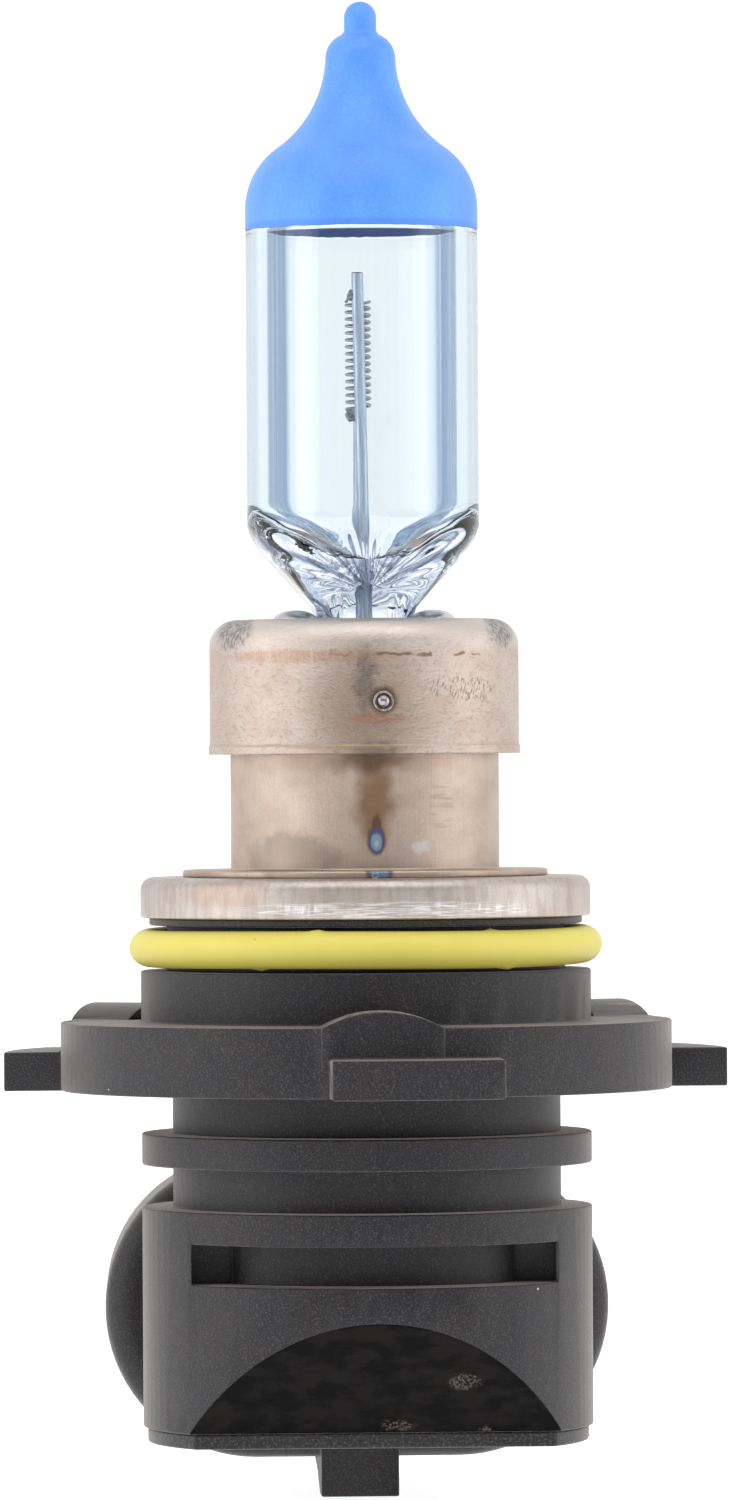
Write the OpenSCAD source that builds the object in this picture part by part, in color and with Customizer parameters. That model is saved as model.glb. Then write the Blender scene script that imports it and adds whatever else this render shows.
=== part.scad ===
// Right-angle prefocus headlight bulb: a single axial filament in a pinched quartz tube,
// carried by welded steel cups on a moulded base with three bayonet lugs and a side socket.
// The origin is on the bulb's axis at the flange's upper face. +Z runs to the glass tip.
// The socket's mouth faces +Y, so the plain side of the base faces -Y.

/* [Glass] */
// Outer radius of the glass tube
tube_r = 5.68; // [5.5:0.01:5.8]
// Wall thickness of the glass tube
glass_wall = 1.04; // [0.9:0.01:1.1]
// Height of the tip of the glass
tip_z = 49.8; // [49.4:0.1:50.5]
// Height of the lower edge of the blue coat
coat_edge_z = 38.6; // [37:0.1:39.4]
// Thickness of the blue coat
coat_t = 0.06; // [0.04:0.01:0.1]
// Height where the domed shoulder starts
shoulder_z = 39.63; // [39.5:0.01:39.8]
// Half the thickness of the flat pinch
pinch_x = 2.07; // [2:0.01:2.1]
// Half the width of the flat pinch
pinch_y = 4.3; // [4:0.1:4.4]
// Height of the pinch's lower end
pinch_low_z = 9.6; // [9:0.1:10]

/* [Filament and leads] */
// Number of turns in the filament
filament_turns = 16; // [12:1:16]
// Outer radius of the filament coil
filament_r = 0.66; // [0.55:0.01:0.68]
// Diameter of the filament wire
filament_wire_d = 0.16; // [0.1:0.01:0.18]
// Height of the filament's lower end
filament_low_z = 29.95; // [29.9:0.05:30.2]
// Length of the filament
filament_len = 5.1; // [4.9:0.1:5.1]
// Diameter of the support wires inside the glass
support_d = 0.56; // [0.5:0.02:0.6]
// Height of the long support wire's upper end
long_support_z = 36.5; // [36.2:0.1:37]
// Diameter of the lead pins below the pinch
lead_d = 0.8; // [0.7:0.05:0.9]

/* [Steel cups] */
// Outer radius of the focusing cup
can_r = 7.56; // [7.5:0.01:7.65]
// Height of the focusing cup's top
can_top_z = 19.58; // [19.5:0.01:19.7]
// Height of the focusing cup's lower edge
can_low_z = 13; // [12.8:0.01:13.3]
// Thickness of the sheet steel
sheet_t = 0.42; // [0.36:0.01:0.44]
// Outer radius of the lower sleeve
sleeve_r = 6.56; // [6.4:0.01:6.65]
// Radius of the sleeve's foot disc
foot_r = 8.92; // [8.7:0.01:9.2]
// Outer radius of the base ring, the pilot that enters the lamp holder
ring_r = 11; // [10.9:0.01:11.1]
// Height of the base ring's top
ring_top_z = 7.04; // [6.9:0.01:7.2]
// Height of the base ring's lower edge
ring_low_z = 5.08; // [5:0.01:5.2]
// Rounding of the base ring's upper edge
ring_round = 0.6; // [0.4:0.05:0.7]

/* [Seal] */
// Radius of the groove that the seal sits in
groove_r = 9.73; // [9.65:0.01:9.8]
// Thickness of the seal
seal_d = 1.82; // [1.78:0.01:1.9]
// Height of the seal's centre
seal_z = 3.65; // [3.55:0.05:3.7]

/* [Base] */
// Radius of the flange
flange_r = 14.94; // [14.7:0.01:15]
// Thickness of the flange
flange_t = 3.35; // [3.2:0.05:3.5]
// Radius to the ends of the bayonet lugs
lug_r = 17.72; // [17.4:0.01:18]
// Thickness of the bayonet lugs
lug_t = 1.89; // [1.8:0.01:2]
// Height of the three seating pads on the flange
pad_h = 0.78; // [0.7:0.01:1]
// Width of the seating pads
pad_w = 5.84; // [5.4:0.02:6]
// Radius of the collar above the flange and of the terminal housing
collar_r = 11; // [10.9:0.01:11.1]
// Height of the collar
collar_h = 2.49; // [2.4:0.01:2.6]
// Radius of the neck under the flange
neck_r = 9.48; // [9.3:0.01:9.6]
// Height of the terminal housing's top
housing_top_z = -9.04; // [-9.2:0.01:-8.9]
// Height of the terminal housing's lower end
housing_low_z = -19.77; // [-19.9:0.01:-19.6]
// Thickness of the bottom cover
cover_t = 0.74; // [0.6:0.01:1]

/* [Socket] */
// Half the distance between the centres of the socket's round ends
socket_half = 5.05; // [4.95:0.05:5.15]
// Outer radius of the socket's round ends at its back wall
socket_r = 7.52; // [7.45:0.01:7.6]
// Outer radius of the socket's round ends at its mouth
socket_mouth_r = 7.07; // [7:0.01:7.2]
// Height of the socket's centre
socket_z = -14.5; // [-14.6:0.01:-14.4]
// Thickness of the socket's wall at its mouth
socket_wall = 1; // [0.9:0.05:1.1]
// Distance from the bulb's axis to the socket's back wall
socket_back_y = 8.4; // [8.2:0.1:8.6]
// Distance from the bulb's axis to the socket's mouth
mouth_y = 23; // [22.5:0.1:23.5]
// Width of a terminal blade
blade_w = 2.8; // [2.6:0.1:2.8]
// Thickness of a terminal blade
blade_t = 0.8; // [0.7:0.05:0.8]
// Distance between the centres of the two blades
blade_pitch = 7.8; // [7.6:0.1:8]
// Width of the latch catch under the socket
catch_w = 3.87; // [3.6:0.01:4]
// Height of the latch catch's lowest point
catch_low_z = -23.9; // [-24:0.01:-23.5]

/* [Hidden] */
$fn = 96;
far = 60;

// Glass outline: shoulder, waist and crown arcs, the fillet under the button, the button
shoulder_r = 3.67;
shoulder_a = 55;
waist_r = 5.65;
waist_a = 2;
crown_r = 1.22;
crown_a = 65;
fillet_r = 0.38;
shoulder_c = [tube_r - shoulder_r, shoulder_z];
waist_c = shoulder_c + (shoulder_r + waist_r) * dir(shoulder_a);
crown_c = waist_c - (waist_r + crown_r) * dir(waist_a);
fillet_c = crown_c + (crown_r + fillet_r) * dir(crown_a);
button_r = fillet_c.x - fillet_r;
button_c = [0, tip_z - button_r];
bore_r = tube_r - glass_wall;
bore_tip_z = 46.6;

// Lower glass: a round shoulder and a slope narrow the tube to the flat pinch
neck_c = [2.45, 25.04];
neck_bend_r = 3.34;
neck_a = 44;
slope_low = [2.45, 20.1];
pinch_top_z = 19.3;
flare = [4.65, 20.4];
flare_top_z = 23.6;
bore_low_z = 25.6;
bore_low_half = 4.8;
bore_low_deep = 3.05;

// Support wires, foils, lead pins and the clips on the filament's ends
support_x = -0.12;
support_y = 1.3;
short_support_z = 29.9;
filament_x = -0.2;
filament_steps = 12;
foil_t = 0.06;
foil_w = 2.2;
foil_y = 1.9;
foil_z = [12.2, 18.4];
clip_r = 0.27;
clip_x = support_x - 0.37;
clip_gap = 0.34;
clip_y = [0.35, 1.45];
lead_bend_z = [7.6, 2.2];
lead_low_z = -16.2;

// Steel cups
can_round = 1.3;
lip_h = 0.47;
lip_out = 0.06;
bell_z = [13.7, 14.3, 17.6];
foot_top_z = ring_top_z + 0.35;
ring_t = 0.5;
skirt_r = 6.3;
skirt_low_z = 2.2;
clamp_t = 0.38;
clamp_low_z = 11;
clamp_band_z = 14;
clamp_w = 5.2;
tongue_x = [2.3, 4.42];
tongue_h = 0.47;
tongue_gap = 2.8;
can_weld_z = 15.63;
can_weld_a = [-86, 34, 154];
foot_weld_a = [-90, 30, 150];
foot_weld_r = 0.42;

// Base
lip_r = 10.58;
lip_low_z = 4.71;
mid_ring_z = [-6.97, -5.43];
pad_a = [-90, 30, 150];
pad_in_r = 11.6;
pad_proud = 0.19;
pad_low_z = -2.07;
front_lug_x = [-2.55, 5.7];
left_lug_y = [0, 8.66];
right_lug_y = [0, 8.94];
slot_z = [-12.56, -10.59];
slot_x = 8.85;
slot_floor_y = -5;
core_r = 8.8;
core_x = 6.85;
facet_top = [-collar_r, -14.28];
facet_low = [-6.31, housing_low_z];
cover_r = 10.78;
cover_back_y = 7.8;
seal_plug_z = [-2, 1];
well_r = 5.9;
lead_hole_r = 0.6;
chamber_x = 6.8;
chamber_y = [-4.4, 7];
chamber_top_z = -12.9;
socket_floor_y = socket_back_y + 1.5;
socket_edge = 1.4;
blade_tip_y = 20;
blade_tail_y = -1.6;
blade_taper = 0.9;
catch_y = [cover_back_y, 9.4, 14.5];
weld_bead_r = 0.75;
weld_bead_h = 0.4;

function dir(a) = [cos(a), sin(a)];
function arc(c, r, a0, a1, n) = [for (i = [0:n]) c + r * dir(a0 + (a1 - a0) * i / n)];
function reversed(p) = [for (i = [len(p) - 1:-1:0]) p[i]];
function both_sides(p) = concat(p, [for (q = reversed(p)) [-q.x, q.y]]);
function unit(v) = v / norm(v);

// Outline of the glass from the tube up to the tip, moved inwards by t
function dome(t) = concat(
    arc(shoulder_c, shoulder_r - t, 0, shoulder_a, 10),
    arc(waist_c, waist_r + t, 180 + shoulder_a, 180 + waist_a, 12),
    arc(crown_c, crown_r - t, waist_a, crown_a, 6),
    arc(fillet_c, fillet_r + t, 180 + crown_a, 180, 4),
    arc(button_c, button_r - t, 0, 90, 6));

// A bar whose outline is drawn in X and Z
module along_y(y0, y1) {
    translate([0, y1, 0])
        rotate([90, 0, 0])
            linear_extrude(y1 - y0)
                children();
}

// A bar whose outline is drawn in Y and Z
module along_x(x0, x1) {
    translate([x0, 0, 0])
        rotate([90, 0, 90])
            linear_extrude(x1 - x0)
                children();
}

module rod(x, y, r, z0, z1) {
    translate([x, y, z0])
        cylinder(r = r, h = z1 - z0);
}

module block(x, y, z) {
    translate([x[0], y[0], z[0]])
        cube([x[1] - x[0], y[1] - y[0], z[1] - z[0]]);
}

// ---- Glass ----

module glass_outside() {
    intersection() {
        rotate_extrude()
            polygon(concat([[0, pinch_low_z], [tube_r, pinch_low_z], [tube_r, coat_edge_z],
                            [tube_r - coat_t, coat_edge_z]], dome(coat_t)));
        along_y(-2 * tube_r, 2 * tube_r)
            polygon(both_sides(concat([[pinch_x, 0], [pinch_x, pinch_top_z], slope_low],
                                      arc(neck_c, neck_bend_r, -neck_a, 0, 8),
                                      [[2 * tube_r, neck_c.y], [2 * tube_r, far]])));
        along_x(-2 * tube_r, 2 * tube_r)
            polygon(both_sides([[pinch_y, 0], [pinch_y, pinch_top_z], flare,
                                [tube_r + 0.3, flare_top_z], [2 * tube_r, flare_top_z],
                                [2 * tube_r, far]]));
    }
}

module glass_bore() {
    intersection() {
        rotate_extrude()
            polygon(concat([[0, pinch_top_z], [bore_r, pinch_top_z]],
                           arc(shoulder_c, shoulder_r - glass_wall, 0, shoulder_a, 10),
                           arc(waist_c, waist_r + glass_wall, 180 + shoulder_a, 192, 10),
                           [[0, bore_tip_z]]));
        along_y(-2 * tube_r, 2 * tube_r)
            polygon(concat([for (a = [180:15:360])
                                [bore_low_half * cos(a), bore_low_z + bore_low_deep * sin(a)]],
                           [[2 * tube_r, bore_low_z + 0.4], [2 * tube_r, far],
                            [-2 * tube_r, far], [-2 * tube_r, bore_low_z + 0.4]]));
    }
}

module glass_envelope() {
    color([0.78, 0.88, 0.96, 0.5])
        difference() {
            glass_outside();
            glass_bore();
            for (side = [-1, 1]) {
                foil(side);
                rod(support_x, side * support_y, support_d / 2, foil_z[1], bore_low_z);
                rod(0, side * foil_y, lead_d / 2, 0, foil_z[0]);
            }
        }
}

module tip_coating() {
    color([0.2, 0.42, 0.95])
        rotate_extrude()
            polygon(concat([[tube_r, coat_edge_z]], dome(0), reversed(dome(coat_t)),
                           [[tube_r - coat_t, coat_edge_z]]));
}

// ---- Filament and leads ----

// The coil starts at the front and ends at the back, and each end leads straight to its clip
function coil_point(s) =
    let (a = -90 + s * (filament_turns * 360 + 180), r = filament_r - filament_wire_d / 2)
    [filament_x + r * cos(a), r * sin(a), filament_low_z + s * filament_len];

module filament() {
    steps = round((filament_turns + 0.5) * filament_steps);
    path = concat([[clip_x, clip_y[0], filament_low_z - clip_gap]],
                  [for (i = [0:steps]) coil_point(i / steps)],
                  [[clip_x, -clip_y[0], filament_low_z + filament_len + clip_gap]]);
    last = len(path) - 1;
    sides = 6;
    points = [for (i = [0:last])
        let (t = unit(path[min(i + 1, last)] - path[max(i - 1, 0)]),
             u = unit([0, 0, 1] - t.z * t), v = cross(t, u))
        for (k = [0:sides - 1])
            path[i] + filament_wire_d / 2 * (cos(k * 60) * u + sin(k * 60) * v)];
    faces = concat(
        [[for (k = [0:sides - 1]) k], [for (k = [sides - 1:-1:0]) last * sides + k]],
        [for (i = [0:last - 1], k = [0:sides - 1])
            let (a = i * sides + k, b = i * sides + (k + 1) % sides)
            each [[a, a + sides, b + sides], [a, b + sides, b]]]);
    color("dimgray")
        polyhedron(points, faces);
}

module clip(side, z) {
    color("gray")
        difference() {
            translate([clip_x, side * (clip_y[0] + clip_y[1]) / 2, z])
                rotate([90, 0, 0])
                    cylinder(r = clip_r, h = clip_y[1] - clip_y[0], center = true, $fn = 32);
            rod(support_x, side * support_y, support_d / 2, z - 1, z + 1);
        }
}

module upper_filament_clip() {
    clip(-1, filament_low_z + filament_len + clip_gap);
}

module lower_filament_clip() {
    clip(1, filament_low_z - clip_gap);
}

module long_support_wire() {
    color("lightsteelblue")
        rod(support_x, -support_y, support_d / 2, foil_z[1], long_support_z);
}

module short_support_wire() {
    color("lightsteelblue")
        rod(support_x, support_y, support_d / 2, foil_z[1], short_support_z);
}

module foil(side) {
    block([-foil_t / 2, foil_t / 2],
          [side * foil_y - foil_w / 2, side * foil_y + foil_w / 2], foil_z);
}

module front_foil() {
    color("silver") foil(-1);
}

module rear_foil() {
    color("silver") foil(1);
}

// Round wire from the foil straight down, across to its terminal and down through the eye
module lead_pin(side) {
    path = [[0, side * foil_y, foil_z[0]], [0, side * foil_y, lead_bend_z[0]],
            [side * blade_pitch / 2, 0, lead_bend_z[1]], [side * blade_pitch / 2, 0, lead_low_z]];
    color("darkgray") {
        for (i = [0:2])
            let (d = path[i + 1] - path[i], h = norm(d))
                translate(path[i])
                    rotate([0, acos(d.z / h), atan2(d.y, d.x)])
                        cylinder(r = lead_d / 2, h = h, $fn = 32);
        for (i = [1, 2])
            translate(path[i])
                sphere(r = lead_d / 2 + 0.04, $fn = 32);
    }
}

module front_lead_pin() {
    lead_pin(-1);
}

module rear_lead_pin() {
    lead_pin(1);
}

// ---- Steel cups ----

// A band round the pinch with a strip on each face, which ends in a tongue on the cup's top
module pinch_clamp() {
    tongue_mid = (tongue_x[0] + tongue_x[1]) / 2;
    tongue_half = (tongue_x[1] - tongue_x[0]) / 2;
    outer_x = pinch_x + clamp_t;
    outer_y = pinch_y + clamp_t;
    color("lightslategray") {
        difference() {
            block([-outer_x, outer_x], [-outer_y, outer_y], [clamp_low_z, clamp_band_z]);
            block([-pinch_x, pinch_x], [-pinch_y, pinch_y], [clamp_low_z - 1, clamp_band_z + 1]);
        }
        for (side = [0, 1])
            mirror([side, 0, 0])
                along_y(-clamp_w / 2, clamp_w / 2)
                    polygon(concat(
                        [[pinch_x, clamp_low_z], [outer_x, clamp_low_z], [outer_x, 18.6],
                         [tongue_gap - 0.1, 19], [tongue_gap - 0.1, can_top_z],
                         [tongue_x[1], can_top_z]],
                        [for (a = [22.5:22.5:157.5]) [tongue_mid + tongue_half * cos(a),
                                                      can_top_z + tongue_h * sin(a)]],
                        [[tongue_x[0], can_top_z], [tongue_x[0], 19.3], [pinch_x, 18.9]]));
    }
}

module focus_can() {
    inner_r = can_r - sheet_t;
    round_c = [can_r - can_round, can_top_z - can_round];
    color("rosybrown")
        difference() {
            rotate_extrude()
                polygon(concat([[inner_r, can_low_z], [can_r + lip_out, can_low_z],
                                [can_r + lip_out, can_low_z + lip_h - lip_out],
                                [can_r, can_low_z + lip_h]],
                               arc(round_c, can_round, 0, 90, 8),
                               [[0, can_top_z], [0, can_top_z - sheet_t]],
                               arc(round_c, can_round - sheet_t, 90, 0, 8)));
            block([-tongue_gap, tongue_gap], [-flare.x - 0.2, flare.x + 0.2], [18, 21]);
        }
}

module can_welds() {
    color("gray")
        difference() {
            for (a = can_weld_a)
                rotate([0, 0, a])
                    translate([can_r, 0, can_weld_z])
                        rotate([0, 90, 0]) {
                            translate([0, 0, -0.1])
                                cylinder(r = 0.53, h = 0.15, $fn = 32);
                            translate([0, 0, -0.1])
                                sphere(r = 0.36, $fn = 32);
                        }
            cylinder(r = can_r, h = can_top_z);
        }
}

// A drawn sleeve: a flat foot disc, a straight tube and a belled top that fits the cup
module mounting_sleeve() {
    bell_r = can_r - sheet_t;
    color("rosybrown")
        rotate_extrude()
            polygon([[sleeve_r - sheet_t, ring_top_z], [foot_r, ring_top_z], [foot_r, foot_top_z],
                     [sleeve_r, foot_top_z], [sleeve_r, bell_z[0]], [bell_r, bell_z[1]],
                     [bell_r, bell_z[2]], [bell_r - sheet_t, bell_z[2]],
                     [bell_r - sheet_t, bell_z[1]], [sleeve_r - sheet_t, bell_z[0]]]);
}

module sleeve_welds() {
    color("slategray")
        difference() {
            for (a = foot_weld_a)
                rotate([0, 0, a])
                    translate([foot_r + 0.06, 0, ring_top_z + 0.05])
                        sphere(r = foot_weld_r, $fn = 32);
            cylinder(r = foot_r, h = can_top_z);
            cylinder(r = ring_r, h = ring_top_z);
        }
}

// A drawn channel ring: its outer wall is the pilot, its inner skirt grips the moulding
module base_ring() {
    color("rosybrown")
        rotate_extrude()
            polygon(concat([[ring_r - ring_t, ring_low_z], [ring_r, ring_low_z]],
                           arc([ring_r - ring_round, ring_top_z - ring_round], ring_round, 0, 90, 6),
                           [[well_r, ring_top_z], [well_r, skirt_low_z], [skirt_r, skirt_low_z],
                            [skirt_r, ring_top_z - ring_t], [ring_r - ring_t, ring_top_z - ring_t]]));
}

// ---- Seals ----

module o_ring() {
    color("khaki")
        rotate_extrude()
            translate([groove_r + seal_d / 2, seal_z])
                circle(d = seal_d, $fn = 48);
}

// Potting that closes the well round the two lead pins
module lead_seal() {
    color("firebrick")
        difference() {
            rod(0, 0, well_r, seal_plug_z[0], seal_plug_z[1]);
            for (side = [-1, 1])
                rod(side * blade_pitch / 2, 0, lead_d / 2, -3, lead_bend_z[1]);
        }
}

// ---- Base ----

// A bar with round ends along Y, whose radius follows the [radius, Y] points of its outline
module round_ended_bar(outline) {
    y0 = outline[0].y;
    y1 = outline[len(outline) - 1].y;
    for (side = [-1, 1])
        translate([side * socket_half, 0, socket_z])
            rotate([-90, 0, 0])
                rotate_extrude()
                    polygon(concat([[0, y0]], outline, [[0, y1]]));
    along_x(-socket_half, socket_half)
        polygon(concat([for (p = outline) [p.y, socket_z + p.x]],
                       [for (p = reversed(outline)) [p.y, socket_z - p.x]]));
}

// Arched boss on the flange, clear of the collar and a little proud of the rim
module pad() {
    arch_r = (pad_w * pad_w / 4 + pad_h * pad_h) / (2 * pad_h);
    rotate([0, 0, 90])
        intersection() {
            along_y(-flange_r - 1, -pad_in_r)
                intersection() {
                    translate([0, pad_h - arch_r])
                        circle(r = arch_r, $fn = 144);
                    translate([-pad_w / 2, pad_low_z])
                        square([pad_w, pad_h - pad_low_z]);
                }
            rod(0, 0, flange_r + pad_proud, pad_low_z, pad_h);
        }
}

module lugs() {
    low_z = -flange_t;
    high_z = lug_t - flange_t;
    intersection() {
        rod(0, 0, lug_r, low_z, high_z);
        union() {
            block(front_lug_x, [-20, 0], [low_z, high_z]);
            block([-20, 0], left_lug_y, [low_z, high_z]);
            block([0, 20], right_lug_y, [low_z, high_z]);
        }
    }
}

module housing() {
    difference() {
        rod(0, 0, collar_r, housing_low_z, housing_top_z);
        along_x(-12, 12)
            polygon([facet_top + 1.5 * (facet_top - facet_low), facet_low, [facet_low.x, -30],
                     [-30, -30]]);
        difference() {
            block([-slot_x, slot_x], [-12, slot_floor_y], slot_z);
            intersection() {
                rod(0, 0, core_r, slot_z[0] - 1, slot_z[1] + 1);
                block([-core_x, core_x], [-12, slot_floor_y + 1], [slot_z[0] - 1, slot_z[1] + 1]);
            }
        }
    }
}

module socket_shell() {
    round_ended_bar(concat(arc([socket_r - socket_edge, socket_back_y + socket_edge],
                               socket_edge, -90, 0, 8), [[socket_mouth_r, mouth_y]]));
    along_x(-catch_w / 2, catch_w / 2)
        polygon([[catch_y[0], socket_z], [catch_y[0], catch_low_z], [catch_y[1], catch_low_z],
                 [catch_y[2], socket_z - socket_mouth_r], [catch_y[2], socket_z]]);
}

module plastic_base() {
    hole_x = blade_pitch / 2;
    color([0.16, 0.16, 0.17])
        difference() {
            union() {
                rod(0, 0, ring_r - ring_t, 0, ring_top_z - ring_t);
                rod(0, 0, collar_r, -1, collar_h);
                rod(0, 0, lip_r, lip_low_z, ring_low_z);
                rod(0, 0, flange_r, -flange_t, 0);
                rod(0, 0, neck_r, housing_top_z - 1, -1);
                rod(0, 0, collar_r, mid_ring_z[0], mid_ring_z[1]);
                for (a = pad_a)
                    rotate([0, 0, a])
                        pad();
                lugs();
                housing();
                socket_shell();
            }
            difference() {
                rod(0, 0, lip_r + 2, collar_h, lip_low_z);
                rod(0, 0, groove_r, collar_h - 1, lip_low_z + 1);
            }
            rod(0, 0, skirt_r, skirt_low_z, ring_top_z);
            rod(0, 0, well_r, seal_plug_z[0], ring_top_z);
            for (side = [-1, 1])
                rod(side * hole_x, 0, lead_hole_r, chamber_top_z - 1, seal_plug_z[0] + 1);
            block([-chamber_x, chamber_x], chamber_y, [housing_low_z - 1, chamber_top_z]);
            round_ended_bar([for (y = [socket_floor_y, mouth_y + 1])
                                [socket_mouth_r - socket_wall, y]]);
            blade(-1);
            blade(1);
        }
}

module blade(side) {
    tip_half = blade_w / 2 - 0.5;
    translate([side * blade_pitch / 2, 0, socket_z - blade_t / 2])
        linear_extrude(blade_t)
            polygon([[-blade_w / 2, blade_tail_y], [blade_w / 2, blade_tail_y],
                     [blade_w / 2, blade_tip_y - blade_taper], [tip_half, blade_tip_y],
                     [-tip_half, blade_tip_y], [-blade_w / 2, blade_tip_y - blade_taper]]);
}

module terminal(side) {
    color("silver")
        difference() {
            blade(side);
            rod(side * blade_pitch / 2, 0, lead_d / 2, -20, -10);
        }
}

module left_terminal() {
    terminal(-1);
}

module right_terminal() {
    terminal(1);
}

module terminal_welds() {
    color("gray")
        for (side = [-1, 1])
            difference() {
                rod(side * blade_pitch / 2, 0, weld_bead_r, socket_z + blade_t / 2,
                    socket_z + blade_t / 2 + weld_bead_h);
                rod(side * blade_pitch / 2, 0, lead_d / 2, -20, -10);
            }
}

module bottom_cover() {
    color([0.22, 0.22, 0.23])
        intersection() {
            rod(0, 0, cover_r, housing_low_z - cover_t, housing_low_z);
            block([-20, 20], [facet_low.x, cover_back_y], [-30, 0]);
        }
}

glass_envelope();
tip_coating();
filament();
upper_filament_clip();
lower_filament_clip();
long_support_wire();
short_support_wire();
front_foil();
rear_foil();
front_lead_pin();
rear_lead_pin();
pinch_clamp();
focus_can();
can_welds();
mounting_sleeve();
sleeve_welds();
base_ring();
o_ring();
lead_seal();
plastic_base();
left_terminal();
right_terminal();
terminal_welds();
bottom_cover();
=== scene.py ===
"""Headlight bulb: the finished pieces and finishes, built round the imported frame.

Sizes are in millimetres here and become metres in the meshes. The bulb's axis is Z, the glass
tip is at the top, the plain side of the base faces -Y and the plug socket faces +Y.
"""
import math

import bmesh
import bpy
from mathutils import Matrix, Quaternion, Vector, noise


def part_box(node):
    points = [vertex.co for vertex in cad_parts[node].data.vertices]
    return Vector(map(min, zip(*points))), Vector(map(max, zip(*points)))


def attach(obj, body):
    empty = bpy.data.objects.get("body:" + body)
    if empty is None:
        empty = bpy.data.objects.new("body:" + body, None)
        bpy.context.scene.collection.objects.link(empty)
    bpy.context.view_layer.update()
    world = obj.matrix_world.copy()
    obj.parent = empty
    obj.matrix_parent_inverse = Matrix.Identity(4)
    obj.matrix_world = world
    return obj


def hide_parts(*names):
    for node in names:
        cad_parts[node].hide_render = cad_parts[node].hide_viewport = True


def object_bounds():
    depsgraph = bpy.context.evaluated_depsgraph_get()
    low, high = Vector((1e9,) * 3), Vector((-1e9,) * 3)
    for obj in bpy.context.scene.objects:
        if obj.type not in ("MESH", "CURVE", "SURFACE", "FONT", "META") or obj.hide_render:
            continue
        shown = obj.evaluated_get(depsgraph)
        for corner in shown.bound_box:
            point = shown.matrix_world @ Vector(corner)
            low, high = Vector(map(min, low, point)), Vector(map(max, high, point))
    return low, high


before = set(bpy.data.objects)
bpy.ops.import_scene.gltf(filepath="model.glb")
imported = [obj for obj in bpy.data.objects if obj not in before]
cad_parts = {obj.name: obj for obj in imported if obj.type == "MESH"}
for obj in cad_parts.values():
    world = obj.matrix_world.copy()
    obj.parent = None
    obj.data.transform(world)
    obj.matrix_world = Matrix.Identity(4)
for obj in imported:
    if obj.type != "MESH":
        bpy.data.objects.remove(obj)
cad_low, cad_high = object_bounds()

MM = 0.001
WELD = 1e-7
SEGMENTS = 144
BODY = "root"


# ---- Sizes, taken from the frame ----

def box_mm(node):
    low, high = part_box(node)
    return low / MM, high / MM


glass_low, glass_high = box_mm("glass_envelope")
coat_low, coat_high = box_mm("tip_coating")
can_low, can_high = box_mm("focus_can")
sleeve_low, sleeve_high = box_mm("mounting_sleeve")
ring_low, ring_high = box_mm("base_ring")
seal_low, seal_high = box_mm("o_ring")
coil_low, coil_high = box_mm("filament")
long_low, long_high = box_mm("long_support_wire")
cover_low, cover_high = box_mm("bottom_cover")
clamp_low, clamp_high = box_mm("pinch_clamp")

TUBE_R = glass_high.x
GLASS_WALL = 1.04
SHOULDER_R = 3.67
SHOULDER_Z = 39.63
SHOULDER_ANGLE = 55
WAIST_R = 5.65
BORE_R = TUBE_R - GLASS_WALL
SHEET = 0.42
LIP_OUT = 0.06
CAN_R = can_high.x - LIP_OUT
SLEEVE_R = 6.56
FOOT_TOP = sleeve_low.z + 0.35
RING_R = ring_high.x
RING_LOW_Z = 5.08
SEAL_D = seal_high.z - seal_low.z
SEAL_MID_R = seal_high.x - SEAL_D / 2
SEAL_Z = (seal_low.z + seal_high.z) / 2
WIRE_R = (long_high.x - long_low.x) / 2
LEAD_ROOT_Z = 20.9
COLLAR_R = 11.0
FACET_TOP_Z = -14.28
FACET_RISE = FACET_TOP_Z - cover_high.z
FACET_RUN = COLLAR_R + cover_low.y


# ---- Mesh tools ----

def smoothstep(low, high, value):
    t = min(max((value - low) / (high - low), 0.0), 1.0)
    return t * t * (3 - 2 * t)


def rounded(corners, steps=5):
    """The outline through (x, z, radius) corners, each corner rounded by its own radius."""
    points = []
    for i, (x, z, radius) in enumerate(corners):
        here = Vector((x, z))
        if radius == 0:
            points.append(here)
            continue
        back = (Vector(corners[i - 1][:2]) - here).normalized()
        onward = (Vector(corners[(i + 1) % len(corners)][:2]) - here).normalized()
        half = back.angle(onward) / 2
        centre = here + (back + onward).normalized() * radius / math.sin(half)
        first = here + back * radius / math.tan(half) - centre
        last = here + onward * radius / math.tan(half) - centre
        turn = first.angle_signed(last)
        for k in range(steps + 1):
            angle = -turn * k / steps
            spin = Matrix.Rotation(angle, 2)
            points.append(centre + spin @ first)
    return points


def arc(centre, radius, start, end, steps):
    """Points on a round stretch of an outline, angles in degrees from +X towards +Z."""
    found = []
    for k in range(steps + 1):
        a = math.radians(start + (end - start) * k / steps)
        found.append(Vector(centre) + radius * Vector((math.cos(a), math.sin(a))))
    return found


def round_angles(count):
    return [2 * math.pi * k / count for k in range(count)]


def skin(bm, rings, closed=False):
    """Faces between rings of points in millimetres. A ring of one point is a pole."""
    made = [[bm.verts.new(Vector(p) * MM) for p in ring] for ring in rings]
    pairs = list(zip(made, made[1:]))
    if closed:
        pairs.append((made[-1], made[0]))
    for lower, upper in pairs:
        count = max(len(lower), len(upper))
        for k in range(count):
            corners = [lower[k % len(lower)], lower[(k + 1) % len(lower)],
                       upper[(k + 1) % len(upper)], upper[k % len(upper)]]
            corners = list(dict.fromkeys(corners))
            if len(corners) > 2:
                bm.faces.new(corners)
    return made


def turned(outline, segments=SEGMENTS):
    """Rings of points for an outline of (radius, height) turned about the axis."""
    rings = []
    for radius, z in outline:
        angles = round_angles(segments) if radius > 1e-6 else [0]
        radius = radius if radius > 1e-6 else 0
        rings.append([(radius * math.cos(a), radius * math.sin(a), z) for a in angles])
    return rings


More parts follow.
